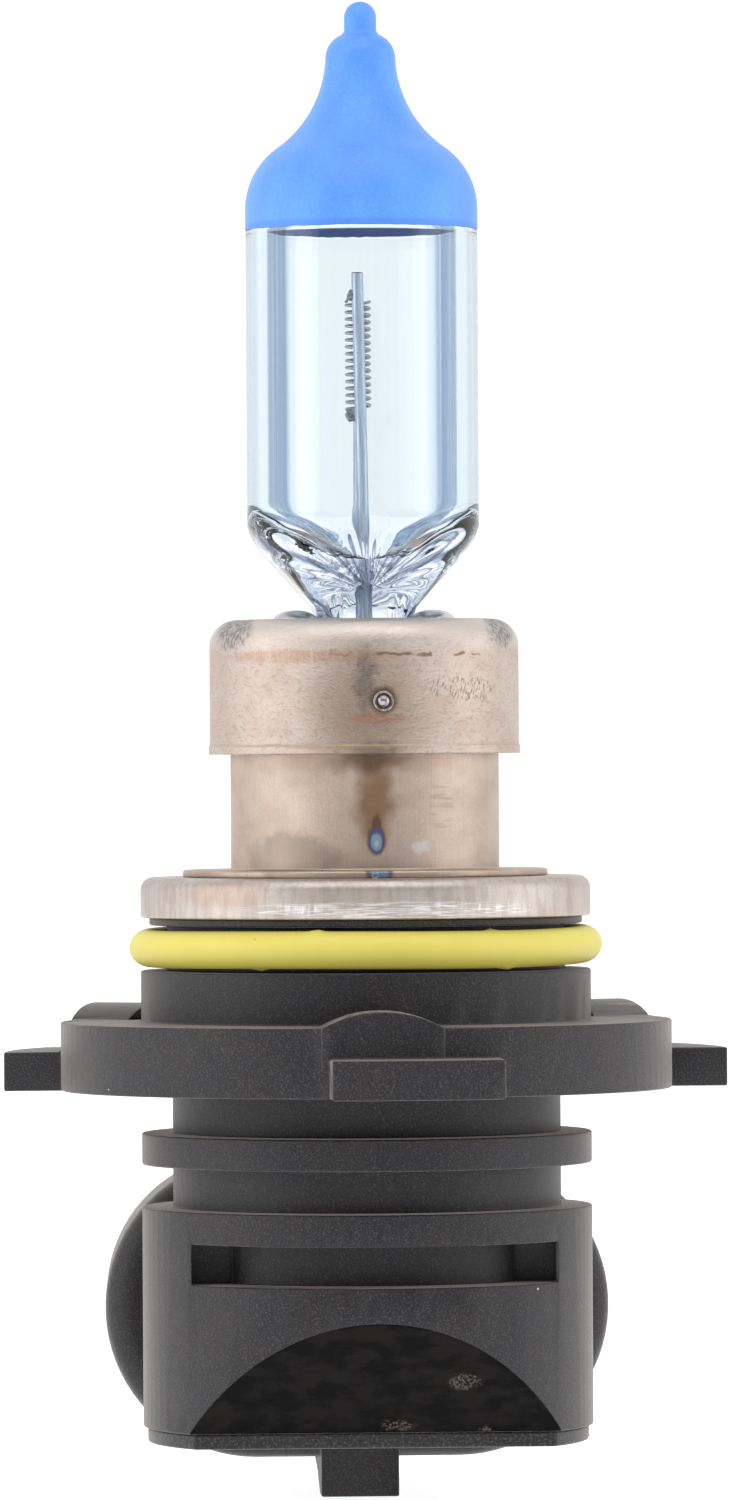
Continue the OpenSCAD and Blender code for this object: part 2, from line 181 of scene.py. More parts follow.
def piece(name, bm, material, nodes, sharp=35, outward=True):
    """Closes a mesh, points its faces outwards and makes it a piece of the bulb."""
    bmesh.ops.remove_doubles(bm, verts=bm.verts, dist=WELD)
    if outward:
        bmesh.ops.recalc_face_normals(bm, faces=bm.faces)
    mesh = bpy.data.meshes.new(name)
    bm.to_mesh(mesh)
    bm.free()
    finish_piece(name, mesh, material, nodes, sharp)


def finish_piece(name, mesh, material, nodes, sharp=35):
    mesh.shade_smooth()
    mesh.set_sharp_from_angle(angle=math.radians(sharp))
    for finish in material if isinstance(material, (list, tuple)) else [material]:
        mesh.materials.append(finish)
    made = bpy.data.objects.new(name, mesh)
    bpy.context.scene.collection.objects.link(made)
    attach(made, BODY)
    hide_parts(*nodes)
    return made


def lathe(name, outline, material, nodes):
    bm = bmesh.new()
    skin(bm, turned(outline), closed=True)
    piece(name, bm, material, nodes)


def superellipse(half_x, half_y, power, angle):
    """Distance from the centre to a rounded rectangle's edge in one direction."""
    c = abs(math.cos(angle)) / half_x
    s = abs(math.sin(angle)) / half_y
    return (c ** power + s ** power) ** (-1 / power)


def pillow(bm, centre, half, power, steps, rings):
    """A closed cushion-like solid with round edges, in millimetres."""
    points = []
    for i in range(rings + 1):
        tilt = math.pi * (i / rings - 0.5)
        z = centre[2] + half[2] * math.sin(tilt)
        ring = []
        for a in round_angles(steps):
            reach = superellipse(half[0], half[1], power, a) * math.cos(tilt)
            ring.append((centre[0] + reach * math.cos(a), centre[1] + reach * math.sin(a), z))
        points.append([(centre[0], centre[1], z)] if i in (0, rings) else ring)
    skin(bm, points)


def bar(bm, low, high, edge):
    """A straight bar between two corners, its edges rounded by a bevel."""
    made = bmesh.ops.create_cube(bm, size=1)
    size = (Vector(high) - Vector(low)) * MM
    middle = (Vector(high) + Vector(low)) / 2 * MM
    bmesh.ops.scale(bm, vec=size, verts=made["verts"])
    bmesh.ops.translate(bm, vec=middle, verts=made["verts"])
    edges = list({e for v in made["verts"] for e in v.link_edges})
    bmesh.ops.bevel(bm, geom=edges, offset=edge * MM, segments=2, profile=0.5, affect="EDGES")


# ---- Material tools ----

def new_finish(name):
    material = bpy.data.materials.new(name)
    material.use_nodes = True
    tree = material.node_tree
    return material, tree, tree.nodes["Principled BSDF"]


def add(tree, kind, inputs=None, **settings):
    """A node with its settings, its inputs given by name as values or as links."""
    made = tree.nodes.new(kind)
    for name, value in settings.items():
        setattr(made, name, value)
    for name, value in (inputs or {}).items():
        plug(tree, made.inputs[name], value)
    return made


def plug(tree, socket, value):
    if isinstance(value, bpy.types.NodeSocket):
        tree.links.new(value, socket)
    else:
        socket.default_value = value


def maths(tree, operation, a, b=0.0):
    return add(tree, "ShaderNodeMath", {0: a, 1: b}, operation=operation).outputs[0]


def times(tree, *factors):
    product = factors[0]
    for factor in factors[1:]:
        product = maths(tree, "MULTIPLY", product, factor)
    return product


def rescale(tree, value, start, end, low=0.0, high=1.0, way="LINEAR"):
    """Maps the span from low to high on to the span from start to end, and clamps."""
    return add(tree, "ShaderNodeMapRange",
               {"Value": value, "From Min": low, "From Max": high, "To Min": start,
                "To Max": end}, interpolation_type=way).outputs[0]


def blend(tree, factor, first, second):
    """Mixes two colours."""
    made = add(tree, "ShaderNodeMix", {0: factor}, data_type="RGBA")
    plug(tree, made.inputs[6], first)
    plug(tree, made.inputs[7], second)
    return made.outputs[2]


def ramp(tree, factor, *stops):
    """A smooth grey step or curve through (position, level) stops."""
    made = tree.nodes.new("ShaderNodeValToRGB")
    made.color_ramp.interpolation = "EASE"
    while len(made.color_ramp.elements) < len(stops):
        made.color_ramp.elements.new(0.5)
    for element, (position, level) in zip(made.color_ramp.elements, stops):
        element.position = position
        element.color = (level, level, level, 1)
    plug(tree, made.inputs[0], factor)
    return made.outputs[0]


def object_coords(tree):
    return add(tree, "ShaderNodeTexCoord").outputs["Object"]


def stretched(tree, coords, sizes, at=(0, 0, 0), turn=(0, 0, 0)):
    """Coordinates centred on a place and divided by a size along each axis, in millimetres."""
    place = [v * MM for v in at]
    scale = [v * MM for v in sizes]
    angles = [math.radians(v) for v in turn]
    made = add(tree, "ShaderNodeMapping",
               {"Vector": coords, "Location": place, "Rotation": angles, "Scale": scale},
               vector_type="TEXTURE")
    return made.outputs[0]


def grain(tree, coords, sizes, detail=3.0, roughness=0.55, at=(0, 0, 0), turn=(0, 0, 0)):
    """Noise whose features are about as large as the given sizes in millimetres."""
    spread = stretched(tree, coords, sizes, at, turn)
    made = add(tree, "ShaderNodeTexNoise",
               {"Vector": spread, "Scale": 1.0, "Detail": detail, "Roughness": roughness})
    return made.outputs["Fac"]


def wobble(tree, coords, size, amount):
    """Coordinates pushed about by noise, so that a mark's outline isn't a clean curve."""
    spread = stretched(tree, coords, (size, size, size))
    push = add(tree, "ShaderNodeTexNoise", {"Vector": spread, "Scale": 1.0, "Detail": 3.0})
    centred = add(tree, "ShaderNodeVectorMath",
                  {0: push.outputs["Color"], 1: (0.5, 0.5, 0.5)}, operation="SUBTRACT")
    scaled = add(tree, "ShaderNodeVectorMath", {0: centred.outputs[0]}, operation="SCALE")
    scaled.inputs["Scale"].default_value = amount * MM * 2
    moved = add(tree, "ShaderNodeVectorMath", {0: coords, 1: scaled.outputs[0]},
                operation="ADD")
    return moved.outputs[0]


def spot(tree, coords, at, sizes, soft=1.0, turn=(0, 0, 0)):
    """A mark: 1 inside an ellipsoid, fading to 0 at its edge over the soft share of it."""
    local = stretched(tree, coords, sizes, at, turn)
    ball = add(tree, "ShaderNodeTexGradient", {"Vector": local}, gradient_type="SPHERICAL")
    return ramp(tree, ball.outputs["Fac"], (0.0, 0.0), (max(soft, 0.02), 1.0))


def marked(tree, colour, marks):
    """Lays marks on a colour: where, how large, how soft, how strong, the tint, a texture."""
    for coords, at, sizes, soft, strength, tint, *texture in marks:
        area = spot(tree, coords, at, sizes, soft)
        colour = blend(tree, times(tree, area, *texture, strength), colour, (*tint, 1))
    return colour


def dotted(tree, colour, coords, size, stops, tint):
    """Sprinkles dots on a colour, one in each cell of the given size."""
    cells = add(tree, "ShaderNodeTexVoronoi",
                {"Vector": stretched(tree, coords, (size,) * 3), "Scale": 1.0})
    return blend(tree, ramp(tree, cells.outputs["Distance"], *stops), colour, tint)


def bump(tree, height, distance, normal=None):
    inputs = {"Height": height, "Distance": distance * MM, "Strength": 1.0}
    if normal is not None:
        inputs["Normal"] = normal
    return add(tree, "ShaderNodeBump", inputs).outputs[0]


def grey(level):
    return (level, level, level, 1)


# ---- Finishes ----

def pressed_fan(tree, coords, tint):
    """Painted shade and highlights on the pressed end of the tube: a blue-grey haze with dark and
    light fan creases, shaded webs beside the leads, a dark line down each groove and dark streaks
    on the slanted edges.
    """
    def edge(value, at, soft, start, end):
        return rescale(tree, value, start, end, at - soft, at + soft, "SMOOTHSTEP")

    def band(value, low, high, soft):
        return times(tree, edge(value, low, soft, 0.0, 1.0), edge(value, high, soft, 1.0, 0.0))

    def noise_at(x, y, **settings):
        place = add(tree, "ShaderNodeCombineXYZ", {"X": x, "Y": y}).outputs[0]
        inputs = {"Vector": place, "Scale": 1.0, **settings}
        return add(tree, "ShaderNodeTexNoise", inputs).outputs["Fac"]

    parts = add(tree, "ShaderNodeSeparateXYZ", {"Vector": coords}).outputs
    across = times(tree, maths(tree, "ABSOLUTE", parts["X"]), 1 / MM)
    rise = maths(tree, "SUBTRACT", times(tree, parts["Z"], 1 / MM), LEAD_ROOT_Z)
    angle = maths(tree, "ARCTAN2", across, rise)
    reach = maths(tree, "SQRT", maths(tree, "ADD", times(tree, across, across),
                                      times(tree, rise, rise)))
    creases = noise_at(times(tree, angle, 11.0), times(tree, reach, 0.22),
                       Detail=3.0, Roughness=0.6, Distortion=0.3)
    dip = maths(tree, "SUBTRACT", rise, times(tree, across, 0.34))
    painted_fan_zone = band(dip, -0.45, 1.45, 0.22)
    # Painted shade in the creases, and painted highlights between them.
    dark = ramp(tree, creases, (0.46, 0.0), (0.58, 1.0))
    light = ramp(tree, creases, (0.38, 0.9), (0.46, 0.0))
    arch = maths(tree, "SUBTRACT", across, 0.72)
    over_arch = maths(tree, "SUBTRACT", rise, times(tree, arch, arch, -1.6))
    painted_web_shade = times(tree, band(over_arch, -0.40, 0.25, 0.08), band(across, 0.0, 1.28, 0.08))
    painted_groove_line = times(tree, band(across, 1.24, 1.32, 0.03), band(rise, -3, -0.1, 0.2))
    slant = maths(tree, "SUBTRACT", across, times(tree, rise, 0.55))
    streaks = noise_at(times(tree, slant, 4.5), times(tree, rise, 1.1), Detail=2.0,
                       Distortion=0.5)
    side = times(tree, band(across, 1.75, 9.0, 0.12), band(rise, -3, -0.3, 0.25))
    # Painted shade and highlights, laid over the glass's tint one after another.
    for area, deeper in (
            (times(tree, painted_fan_zone, 0.75), (0.30, 0.38, 0.53, 1)),
            (times(tree, painted_fan_zone, dark), (0.05, 0.07, 0.13, 1)),
            (times(tree, painted_fan_zone, light), (0.97, 0.98, 1.0, 1)),
            (times(tree, painted_web_shade, 0.6), (0.42, 0.51, 0.66, 1)),
            (times(tree, painted_groove_line, 0.6), (0.20, 0.22, 0.28, 1)),
            (times(tree, side, ramp(tree, streaks, (0.46, 0.0), (0.58, 0.85))),
             (0.13, 0.15, 0.22, 1))):
        tint = blend(tree, area, tint, deeper)
    return tint


def quartz(name, clear, painted_edge_tints, fan=False):
    """Clear quartz with draw lines, and painted shade: a deeper tint from one slant of view to
    another, standing in for the surroundings seen through glass that is seen edge-on.
    """
    material, tree, shader = new_finish(name)
    coords = object_coords(tree)
    edge_on = add(tree, "ShaderNodeLayerWeight", {"Blend": 0.5}).outputs["Facing"]
    tint = clear
    # Painted shade: the more edge-on the glass is seen, the darker and bluer its tint.
    for start, full, deeper in painted_edge_tints:
        tint = blend(tree, ramp(tree, edge_on, (start, 0.0), (full, 1.0)), tint, deeper)
    draw_lines = grain(tree, coords, (0.35, 0.35, 40.0), detail=4.0)
    tint = blend(tree, ramp(tree, draw_lines, (0.45, 0.0), (0.7, 0.3)), tint,
                 (0.80, 0.90, 0.97, 1))
    if fan:
        tint = pressed_fan(tree, coords, tint)
    plug(tree, shader.inputs["Base Color"], tint)
    plug(tree, shader.inputs["Normal"], bump(tree, draw_lines, 0.0012))
    shader.inputs["Roughness"].default_value = 0.0
    shader.inputs["IOR"].default_value = 1.46
    shader.inputs["Transmission Weight"].default_value = 1.0
    return material


def blue_coat():
    """Baked blue lacquer: satin, very finely pebbled, darker where it ends in a thick bead."""
    material, tree, shader = new_finish("blue_coat")
    coords = object_coords(tree)
    fine = grain(tree, coords, (0.16, 0.16, 0.16), detail=4.0)
    cloud = grain(tree, coords, (3.0, 3.0, 5.0), detail=2.0)
    colour = blend(tree, ramp(tree, cloud, (0.3, 0.0), (0.7, 1.0)),
                   (0.085, 0.275, 0.80, 1), (0.105, 0.325, 0.88, 1))
    colour = blend(tree, ramp(tree, fine, (0.4, 0.0), (0.7, 0.25)), colour,
                   (0.17, 0.42, 0.95, 1))
    height = add(tree, "ShaderNodeSeparateXYZ", {"Vector": coords}).outputs["Z"]
    rim = coat_low.z * MM
    bead = rescale(tree, height, 1.0, 0.0, rim + 0.25 * MM, rim + 0.4 * MM)
    colour = blend(tree, times(tree, bead, 0.55), colour, (0.06, 0.21, 0.68, 1))
    plug(tree, shader.inputs["Base Color"], colour)
    plug(tree, shader.inputs["Normal"], bump(tree, fine, 0.006))
    shader.inputs["Roughness"].default_value = 0.42
    shader.inputs["Specular IOR Level"].default_value = 0.45
    return material


def drawn_steel(name, tone, stain, rough=0.36, peened=0.0, brushed=0.0):
    """Drawn and heat-tinted steel. Returns the tree and its colour so that marks can be added."""
    material, tree, shader = new_finish(name)
    coords = object_coords(tree)
    shader.inputs["Metallic"].default_value = 1.0
    patches = grain(tree, coords, (2.6, 2.6, 1.7), detail=4.0)
    colour = blend(tree, ramp(tree, patches, (0.35, 0.0), (0.7, 1.0)), tone, stain)
    fine = grain(tree, coords, (0.12, 0.12, 0.12), detail=3.0)
    colour = blend(tree, ramp(tree, fine, (0.4, 0.0), (0.75, 0.35)), colour,
                   [c * 0.72 for c in tone[:3]] + [1])
    normal = bump(tree, fine, 0.010)
    if peened:
        wrinkles = grain(tree, wobble(tree, coords, 1.8, 0.8), (0.34, 0.34, 0.12))
        normal = bump(tree, wrinkles, peened, normal)
        colour = blend(tree, ramp(tree, wrinkles, (0.3, 0.45), (0.5, 0.0)), colour,
                       [c * 0.6 for c in stain[:3]] + [1])
    if brushed:
        lines = grain(tree, coords, (0.09, 0.09, 2.4), detail=3.0)
        normal = bump(tree, lines, brushed, normal)
        colour = blend(tree, ramp(tree, lines, (0.45, 0.0), (0.8, 0.4)), colour,
                       [c * 0.75 for c in tone[:3]] + [1])
    plug(tree, shader.inputs["Roughness"], rescale(tree, patches, rough - 0.06, rough + 0.10))
    plug(tree, shader.inputs["Normal"], normal)
    return material, tree, shader, coords, colour


def cup_finish():
    """The focusing cup: peened skin, a rust line under the shoulder, a smudge by the weld."""
    material, tree, shader, coords, colour = drawn_steel(
        "cup_steel", (0.56, 0.47, 0.42, 1), (0.51, 0.41, 0.345, 1), rough=0.50, peened=0.030)
    front, side, top, low = -CAN_R, CAN_R - 1.2, can_high.z, can_low.z
    height = add(tree, "ShaderNodeSeparateXYZ", {"Vector": coords}).outputs["Z"]
    # Painted highlight: the rounded shoulder is made paler towards the top.
    crown = rescale(tree, height, 0.0, 0.75, (top - 1.7) * MM, (top - 0.7) * MM)
    colour = blend(tree, crown, colour, (0.66, 0.61, 0.57, 1))
    loose = wobble(tree, coords, 0.7, 0.22)
    soot = wobble(tree, coords, 0.5, 0.5)
    tight = wobble(tree, coords, 0.3, 0.12)
    streaks = ramp(tree, grain(tree, coords, (0.12, 0.12, 1.2)), (0.3, 0.35), (0.6, 1.0))
    dashes = ramp(tree, grain(tree, coords, (0.8, 0.8, 3.0), 2.0), (0.42, 0.0), (0.55, 1.0))
    specks = grain(tree, coords, (0.16, 0.16, 0.2), 4.0)
    dense = ramp(tree, specks, (0.35, 0.6), (0.6, 1.0))
    sparse = ramp(tree, specks, (0.4, 0.35), (0.6, 1.0))
    ticks = ramp(tree, grain(tree, coords, (0.10, 0.10, 0.34), 2.0, turn=(0, 18, 0)),
                 (0.5, 0.0), (0.6, 1.0))
    colour = marked(tree, colour, (
        # Rust under the shoulder, then a thin broken line at its edge
        (loose, (-3.6, front, top - 1.85), (6.2, 7.0, 0.42), 0.5, 0.6, (0.44, 0.27, 0.17),
         streaks),
        (loose, (2.2, front, top - 1.75), (5.2, 6.0, 0.1), 0.5, 0.8, (0.20, 0.12, 0.08), dashes),
        # Brown halo and sooty smudge above the weld
        (soot, (-0.4, front, top - 4.55), (3.6, 5.4, 4.6), 0.8, 0.6, (0.22, 0.155, 0.10)),
        (soot, (-0.35, front, top - 2.95), (0.75, 3.0, 2.2), 0.7, 0.6, (0.085, 0.08, 0.075),
         dense),
        # Burnt rim round the weld, the arc's mark under it, and scorching at the lip
        (tight, (0.53, front, low + 2.6), (0.85, 2.0, 0.85), 0.45, 0.85, (0.10, 0.055, 0.04)),
        (loose, (0.2, front, low + 1.7), (1.9, 3.0, 0.35), 0.6, 0.45, (0.34, 0.15, 0.09)),
        (soot, (0.2, front, low + 0.2), (1.7, 3.0, 0.6), 0.6, 0.5, (0.12, 0.09, 0.07)),
        # Grey rub at both ends of the shoulder
        (soot, (-side, -2.8, top - 0.55), (1.2, 3.2, 1.3), 0.5, 0.85, (0.17, 0.17, 0.175),
         sparse),
        (soot, (side, -2.8, top - 0.55), (1.0, 3.2, 1.3), 0.5, 0.85, (0.17, 0.17, 0.175),
         sparse),
        # Tool ticks on the right, and rust along the hem
        (soot, (4.4, -5.9, low + 3.2), (3.0, 2.8, 0.8), 0.6, 0.7, (0.20, 0.13, 0.10), ticks),
        (loose, (-2.2, front, low + 0.38), (6.0, 7.0, 0.16), 0.5, 0.5, (0.40, 0.27, 0.17))))
    plug(tree, shader.inputs["Base Color"], colour)
    return material


def sleeve_finish():
    """The lower sleeve: fine upright brushing, and a temper-coloured teardrop from its weld."""
    material, tree, shader, coords, colour = drawn_steel(
        "sleeve_steel", (0.53, 0.43, 0.36, 1), (0.46, 0.36, 0.295, 1), rough=0.46, brushed=0.008)
    front, low, under_cup = -SLEEVE_R, sleeve_low.z, can_low.z
    drop_x, drop_z = 0.2, sleeve_low.z + 1.9
    cloudy = wobble(tree, coords, 0.9, 0.5)
    ragged = wobble(tree, coords, 1.1, 1.1)
    tight = wobble(tree, coords, 0.35, 0.07)
    rungs = ramp(tree, grain(tree, coords, (2.0, 2.0, 0.16), 1.0), (0.5, 0.0), (0.6, 1.0))
    colour = marked(tree, colour, (
        # Ragged stain low on the left, halo over the teardrop, scorching under the cup
        (ragged, (-4.0, -5.0, low + 0.9), (3.0, 3.6, 1.5), 0.35, 0.6, (0.27, 0.22, 0.19)),
        (cloudy, (drop_x - 0.1, front, drop_z + 1.7), (1.35, 3.0, 2.9), 0.7, 0.8,
         (0.20, 0.105, 0.05)),
        (cloudy, (0.0, front, under_cup - 0.2), (3.0, 4.0, 1.0), 0.8, 0.85, (0.10, 0.055, 0.035)),
        (cloudy, (-2.6, front, under_cup - 0.3), (3.2, 4.0, 0.9), 0.8, 0.35, (0.34, 0.22, 0.16)),
        (cloudy, (2.6, front, under_cup - 0.3), (3.2, 4.0, 0.9), 0.8, 0.35, (0.34, 0.22, 0.16))))
    drop = spot(tree, tight, (drop_x, front, drop_z - 0.1), (0.55, 2.0, 0.85), soft=0.35)
    tail = spot(tree, tight, (drop_x, front, drop_z + 0.55), (0.3, 2.0, 0.75), soft=0.4)
    rim = maths(tree, "MAXIMUM", drop, tail)
    colour = blend(tree, times(tree, rim, 0.85), colour, (0.14, 0.07, 0.06, 1))
    colour = marked(tree, colour, (
        # Temper colours inside the teardrop, from its violet rim to its pale core
        (tight, (drop_x, front, drop_z - 0.12), (0.44, 2.0, 0.72), 0.3, 1, (0.10, 0.11, 0.24)),
        (tight, (drop_x, front, drop_z - 0.18), (0.34, 2.0, 0.52), 0.4, 1, (0.24, 0.36, 0.45)),
        (tight, (drop_x, front, drop_z - 0.26), (0.16, 2.0, 0.22), 0.6, 1, (0.42, 0.50, 0.53)),
        # A wiped patch, faint rungs on the right, and the colours of the foot's weld
        (cloudy, (2.4, front, low + 1.35), (0.6, 3.0, 0.4), 0.6, 0.5, (0.66, 0.68, 0.71)),
        (coords, (3.4, -5.6, low + 3.4), (0.8, 2.0, 1.5), 0.4, 0.35, (0.30, 0.21, 0.16), rungs),
        (tight, (drop_x, -8.9, low + 0.25), (0.8, 1.6, 0.7), 0.4, 1, (0.16, 0.08, 0.07)),
        (tight, (drop_x, -8.9, low + 0.25), (0.6, 1.4, 0.6), 0.4, 1, (0.22, 0.29, 0.38))))
    plug(tree, shader.inputs["Base Color"], colour)
    return material


def ring_finish():
    """The base ring: greyer steel with scuffs that run round it near its lower edge."""
    material, tree, shader, coords, colour = drawn_steel(
        "ring_steel", (0.54, 0.49, 0.46, 1), (0.50, 0.43, 0.39, 1), rough=0.44, brushed=0.004)
    front, low = -RING_R, RING_LOW_Z
    streaks = grain(tree, coords, (0.35, 0.35, 1.6), 4.0)
    patchy = ramp(tree, streaks, (0.35, 0.7), (0.55, 0.1))
    scuffs = ramp(tree, grain(tree, coords, (1.3, 1.3, 0.05)), (0.47, 0.0), (0.58, 1.0))
    rusty = wobble(tree, coords, 1.2, 0.6)
    uneven = wobble(tree, coords, 0.8, 0.3)
    colour = blend(tree, ramp(tree, streaks, (0.45, 0.0), (0.62, 0.38)), colour,
                   (0.33, 0.28, 0.245, 1))
    colour = marked(tree, colour, (
        (rusty, (-7.4, -8.2, low + 1.2), (3.4, 4.0, 0.9), 0.6, 0.4, (0.40, 0.26, 0.18)),
        (coords, (0.6, front, low + 0.42), (9.0, 8.0, 0.55), 0.5, 0.6, (0.95, 0.95, 0.96),
         scuffs),
        # Two rubbed, shiny patches
        (uneven, (4.6, front, low + 0.55), (3.4, 3.0, 0.36), 0.7, 1, (0.97, 0.97, 0.99), patchy),
        (uneven, (-3.6, front, low + 0.55), (1.6, 3.0, 0.36), 0.7, 1, (0.97, 0.97, 0.99),
         patchy)))
    plug(tree, shader.inputs["Base Color"], colour)
    return material


def plain_metal(name, tone, shade, rough, sizes=(0.3, 0.3, 0.3), relief=0.006):
    """Bare metal with grain of a given size, used for wires, clips, foils and blades."""
    material, tree, shader = new_finish(name)
    coords = object_coords(tree)
    marks = grain(tree, coords, sizes, detail=4.0)
    colour = blend(tree, ramp(tree, marks, (0.35, 0.0), (0.7, 1.0)), tone, shade)
    plug(tree, shader.inputs["Base Color"], colour)
    plug(tree, shader.inputs["Roughness"], rescale(tree, marks, rough - 0.05, rough + 0.12))
    plug(tree, shader.inputs["Normal"], bump(tree, marks, relief))
    shader.inputs["Metallic"].default_value = 1.0
    return material


def moulded_plastic(name, tone, worn, rough=0.46, grain_size=0.085, grain_depth=0.022):
    """Black glass-filled moulding: dense fine grain, brownish haze and a little dust."""
    material, tree, shader = new_finish(name)
    coords = object_coords(tree)
    pebbles = grain(tree, coords, (grain_size,) * 3, detail=2.0, roughness=0.6)
    haze = grain(tree, coords, (3.2, 3.2, 2.4), detail=4.0)
    colour = blend(tree, ramp(tree, haze, (0.35, 0.0), (0.75, 1.0)), tone, worn)
    colour = blend(tree, ramp(tree, pebbles, (0.48, 0.0), (0.68, 1.0)), colour,
                   [c * 4.6 for c in worn[:3]] + [1])
    colour = dotted(tree, colour, coords, 0.17, ((0.08, 0.32), (0.2, 0.0)),
                    (0.085, 0.082, 0.095, 1))
    colour = dotted(tree, colour, coords, 2.9, ((0.016, 0.9), (0.024, 0.0)),
                    (0.70, 0.68, 0.64, 1))
    plug(tree, shader.inputs["Base Color"], colour)
    plug(tree, shader.inputs["Roughness"], rescale(tree, pebbles, rough - 0.1, rough + 0.12))
    plug(tree, shader.inputs["Normal"], bump(tree, pebbles, grain_depth))
    shader.inputs["Specular IOR Level"].default_value = 0.42
    shader.inputs["Sheen Weight"].default_value = 0.42
    shader.inputs["Sheen Roughness"].default_value = 0.32
    shader.inputs["Sheen Tint"].default_value = (1.0, 0.93, 0.88, 1)
    return material, tree, shader, coords, colour


def base_finish():
    """The base's plastic, with painted shade on the smooth facet under the slot, and its scuffs.
    """
    material, tree, shader, coords, colour = moulded_plastic(
        "base_plastic", (0.0050, 0.0051, 0.0086, 1), (0.0110, 0.0094, 0.0096, 1))
    facet_out = Vector((0, -FACET_RISE, -FACET_RUN)).normalized()
    along = add(tree, "ShaderNodeVectorMath", {0: coords, 1: facet_out},
                operation="DOT_PRODUCT").outputs["Value"]
    level = facet_out.dot(Vector((0, -COLLAR_R, FACET_TOP_Z))) * MM
    away = maths(tree, "ABSOLUTE", maths(tree, "SUBTRACT", along, level))
    facet = maths(tree, "LESS_THAN", away, 0.03 * MM)
    # Painted shade: the downward-facing facet is coloured near black, unevenly.
    satin = grain(tree, coords, (1.6, 1.6, 0.8), detail=4.0)
    facet_painted_shade = blend(tree, ramp(tree, satin, (0.4, 0.0), (0.62, 1.0)),
                        (0.0020, 0.0019, 0.0019, 1), (0.0085, 0.0076, 0.0072, 1))
    colour = blend(tree, facet, colour, facet_painted_shade)
    chalk = ramp(tree, grain(tree, coords, (0.12, 0.12, 0.12)), (0.42, 0.0), (0.62, 1.0))
    loose = wobble(tree, coords, 0.5, 0.35)
    pale, black = (0.16, 0.14, 0.12), (0.004, 0.003, 0.003)
    colour = marked(tree, colour, (
        (loose, (4.2, -8.4, -17.2), (1.0, 1.2, 0.55), 0.5, 0.6, pale, chalk),
        (loose, (1.1, -6.7, -19.4), (1.0, 1.0, 0.35), 0.5, 0.6, pale, chalk),
        (loose, (5.3, -6.5, -19.6), (0.4, 0.8, 0.15), 0.5, 0.6, pale, chalk),
        (loose, (-9.6, -5.3, -19.6), (0.9, 1.6, 0.14), 0.3, 0.9, black),
        (loose, (-9.3, -5.6, -19.3), (0.35, 1.2, 0.5), 0.3, 0.9, black)))
    plug(tree, shader.inputs["Base Color"], colour)
    plug(tree, shader.inputs["Specular IOR Level"], rescale(tree, facet, 0.42, 0.06))
    plug(tree, shader.inputs["Sheen Weight"], rescale(tree, facet, 0.5, 0.06))
    return material


def seal_rubber():
    """Yellow silicone: smooth and slightly dusty."""
    material, tree, shader = new_finish("seal_rubber")
    coords = object_coords(tree)
    soft = grain(tree, coords, (2.2, 2.2, 1.0), detail=2.0)
    fine = grain(tree, coords, (0.14, 0.14, 0.14), detail=3.0)
    colour = blend(tree, soft, (0.70, 0.61, 0.118, 1), (0.665, 0.575, 0.10, 1))
    colour = blend(tree, ramp(tree, fine, (0.55, 0.0), (0.8, 0.3)), colour,
                   (0.66, 0.57, 0.10, 1))
    colour = dotted(tree, colour, coords, 1.7, ((0.03, 0.5), (0.05, 0.0)),
                    (0.40, 0.34, 0.08, 1))
    plug(tree, shader.inputs["Base Color"], colour)
    plug(tree, shader.inputs["Normal"], bump(tree, fine, 0.004))
    shader.inputs["Roughness"].default_value = 0.48
    return material


def pale_floor():
    material, tree, shader = new_finish("pale_floor")
    coords = object_coords(tree)
    paper = grain(tree, coords, (1.5, 1.5, 1.5), detail=2.0)
    colour = blend(tree, paper, grey(0.50), grey(0.52))
    plug(tree, shader.inputs["Base Color"], colour)
    plug(tree, shader.inputs["Emission Color"], blend(tree, paper, grey(0.95), grey(1.0)))
    shader.inputs["Emission Strength"].default_value = 0.92
    shader.inputs["Roughness"].default_value = 0.9
    shader.inputs["Specular IOR Level"].default_value = 0.1
    return material


# The later colours of each glass are painted shade, laid on where the glass is seen edge-on.
GLASS = quartz("quartz_glass", (0.815, 0.858, 0.879, 1),
               ((0.21, 0.27, (0.60, 0.72, 0.81, 1)), (0.365, 0.395, (0.48, 0.61, 0.70, 1)),
                (0.55, 0.60, (0.36, 0.44, 0.52, 1))), True)
BORE_GLASS = quartz("quartz_bore", (0.815, 0.858, 0.879, 1),
                    ((0.22, 0.36, (0.42, 0.54, 0.68, 1)), (0.33, 0.42, (0.06, 0.13, 0.26, 1))))
COAT = blue_coat()
CUP = cup_finish()
SLEEVE = sleeve_finish()
RING = ring_finish()
TUNGSTEN = plain_metal("tungsten", (0.42, 0.44, 0.47, 1), (0.30, 0.31, 0.34, 1), 0.38,
                       (0.08, 0.08, 0.08), 0.004)
SUPPORT = plain_metal("support_wire", (0.48, 0.55, 0.66, 1), (0.33, 0.38, 0.47, 1), 0.30,
                      (0.10, 0.10, 2.0), 0.004)
CLIP = plain_metal("crimped_clip", (0.34, 0.37, 0.42, 1), (0.10, 0.11, 0.13, 1), 0.35,
                   (0.14, 0.14, 0.14), 0.03)
FOIL = plain_metal("foil", (0.70, 0.71, 0.72, 1), (0.52, 0.52, 0.54, 1), 0.28,
                   (0.2, 0.2, 1.2), 0.006)
CLAMP = plain_metal("clamp_steel", (0.62, 0.62, 0.65, 1), (0.50, 0.47, 0.46, 1), 0.30,
                    (0.7, 0.7, 0.7), 0.008)
WELD_STEEL = plain_metal("weld_steel", (0.46, 0.43, 0.45, 1), (0.24, 0.18, 0.17, 1), 0.24,
                         (0.22, 0.22, 0.22), 0.012)
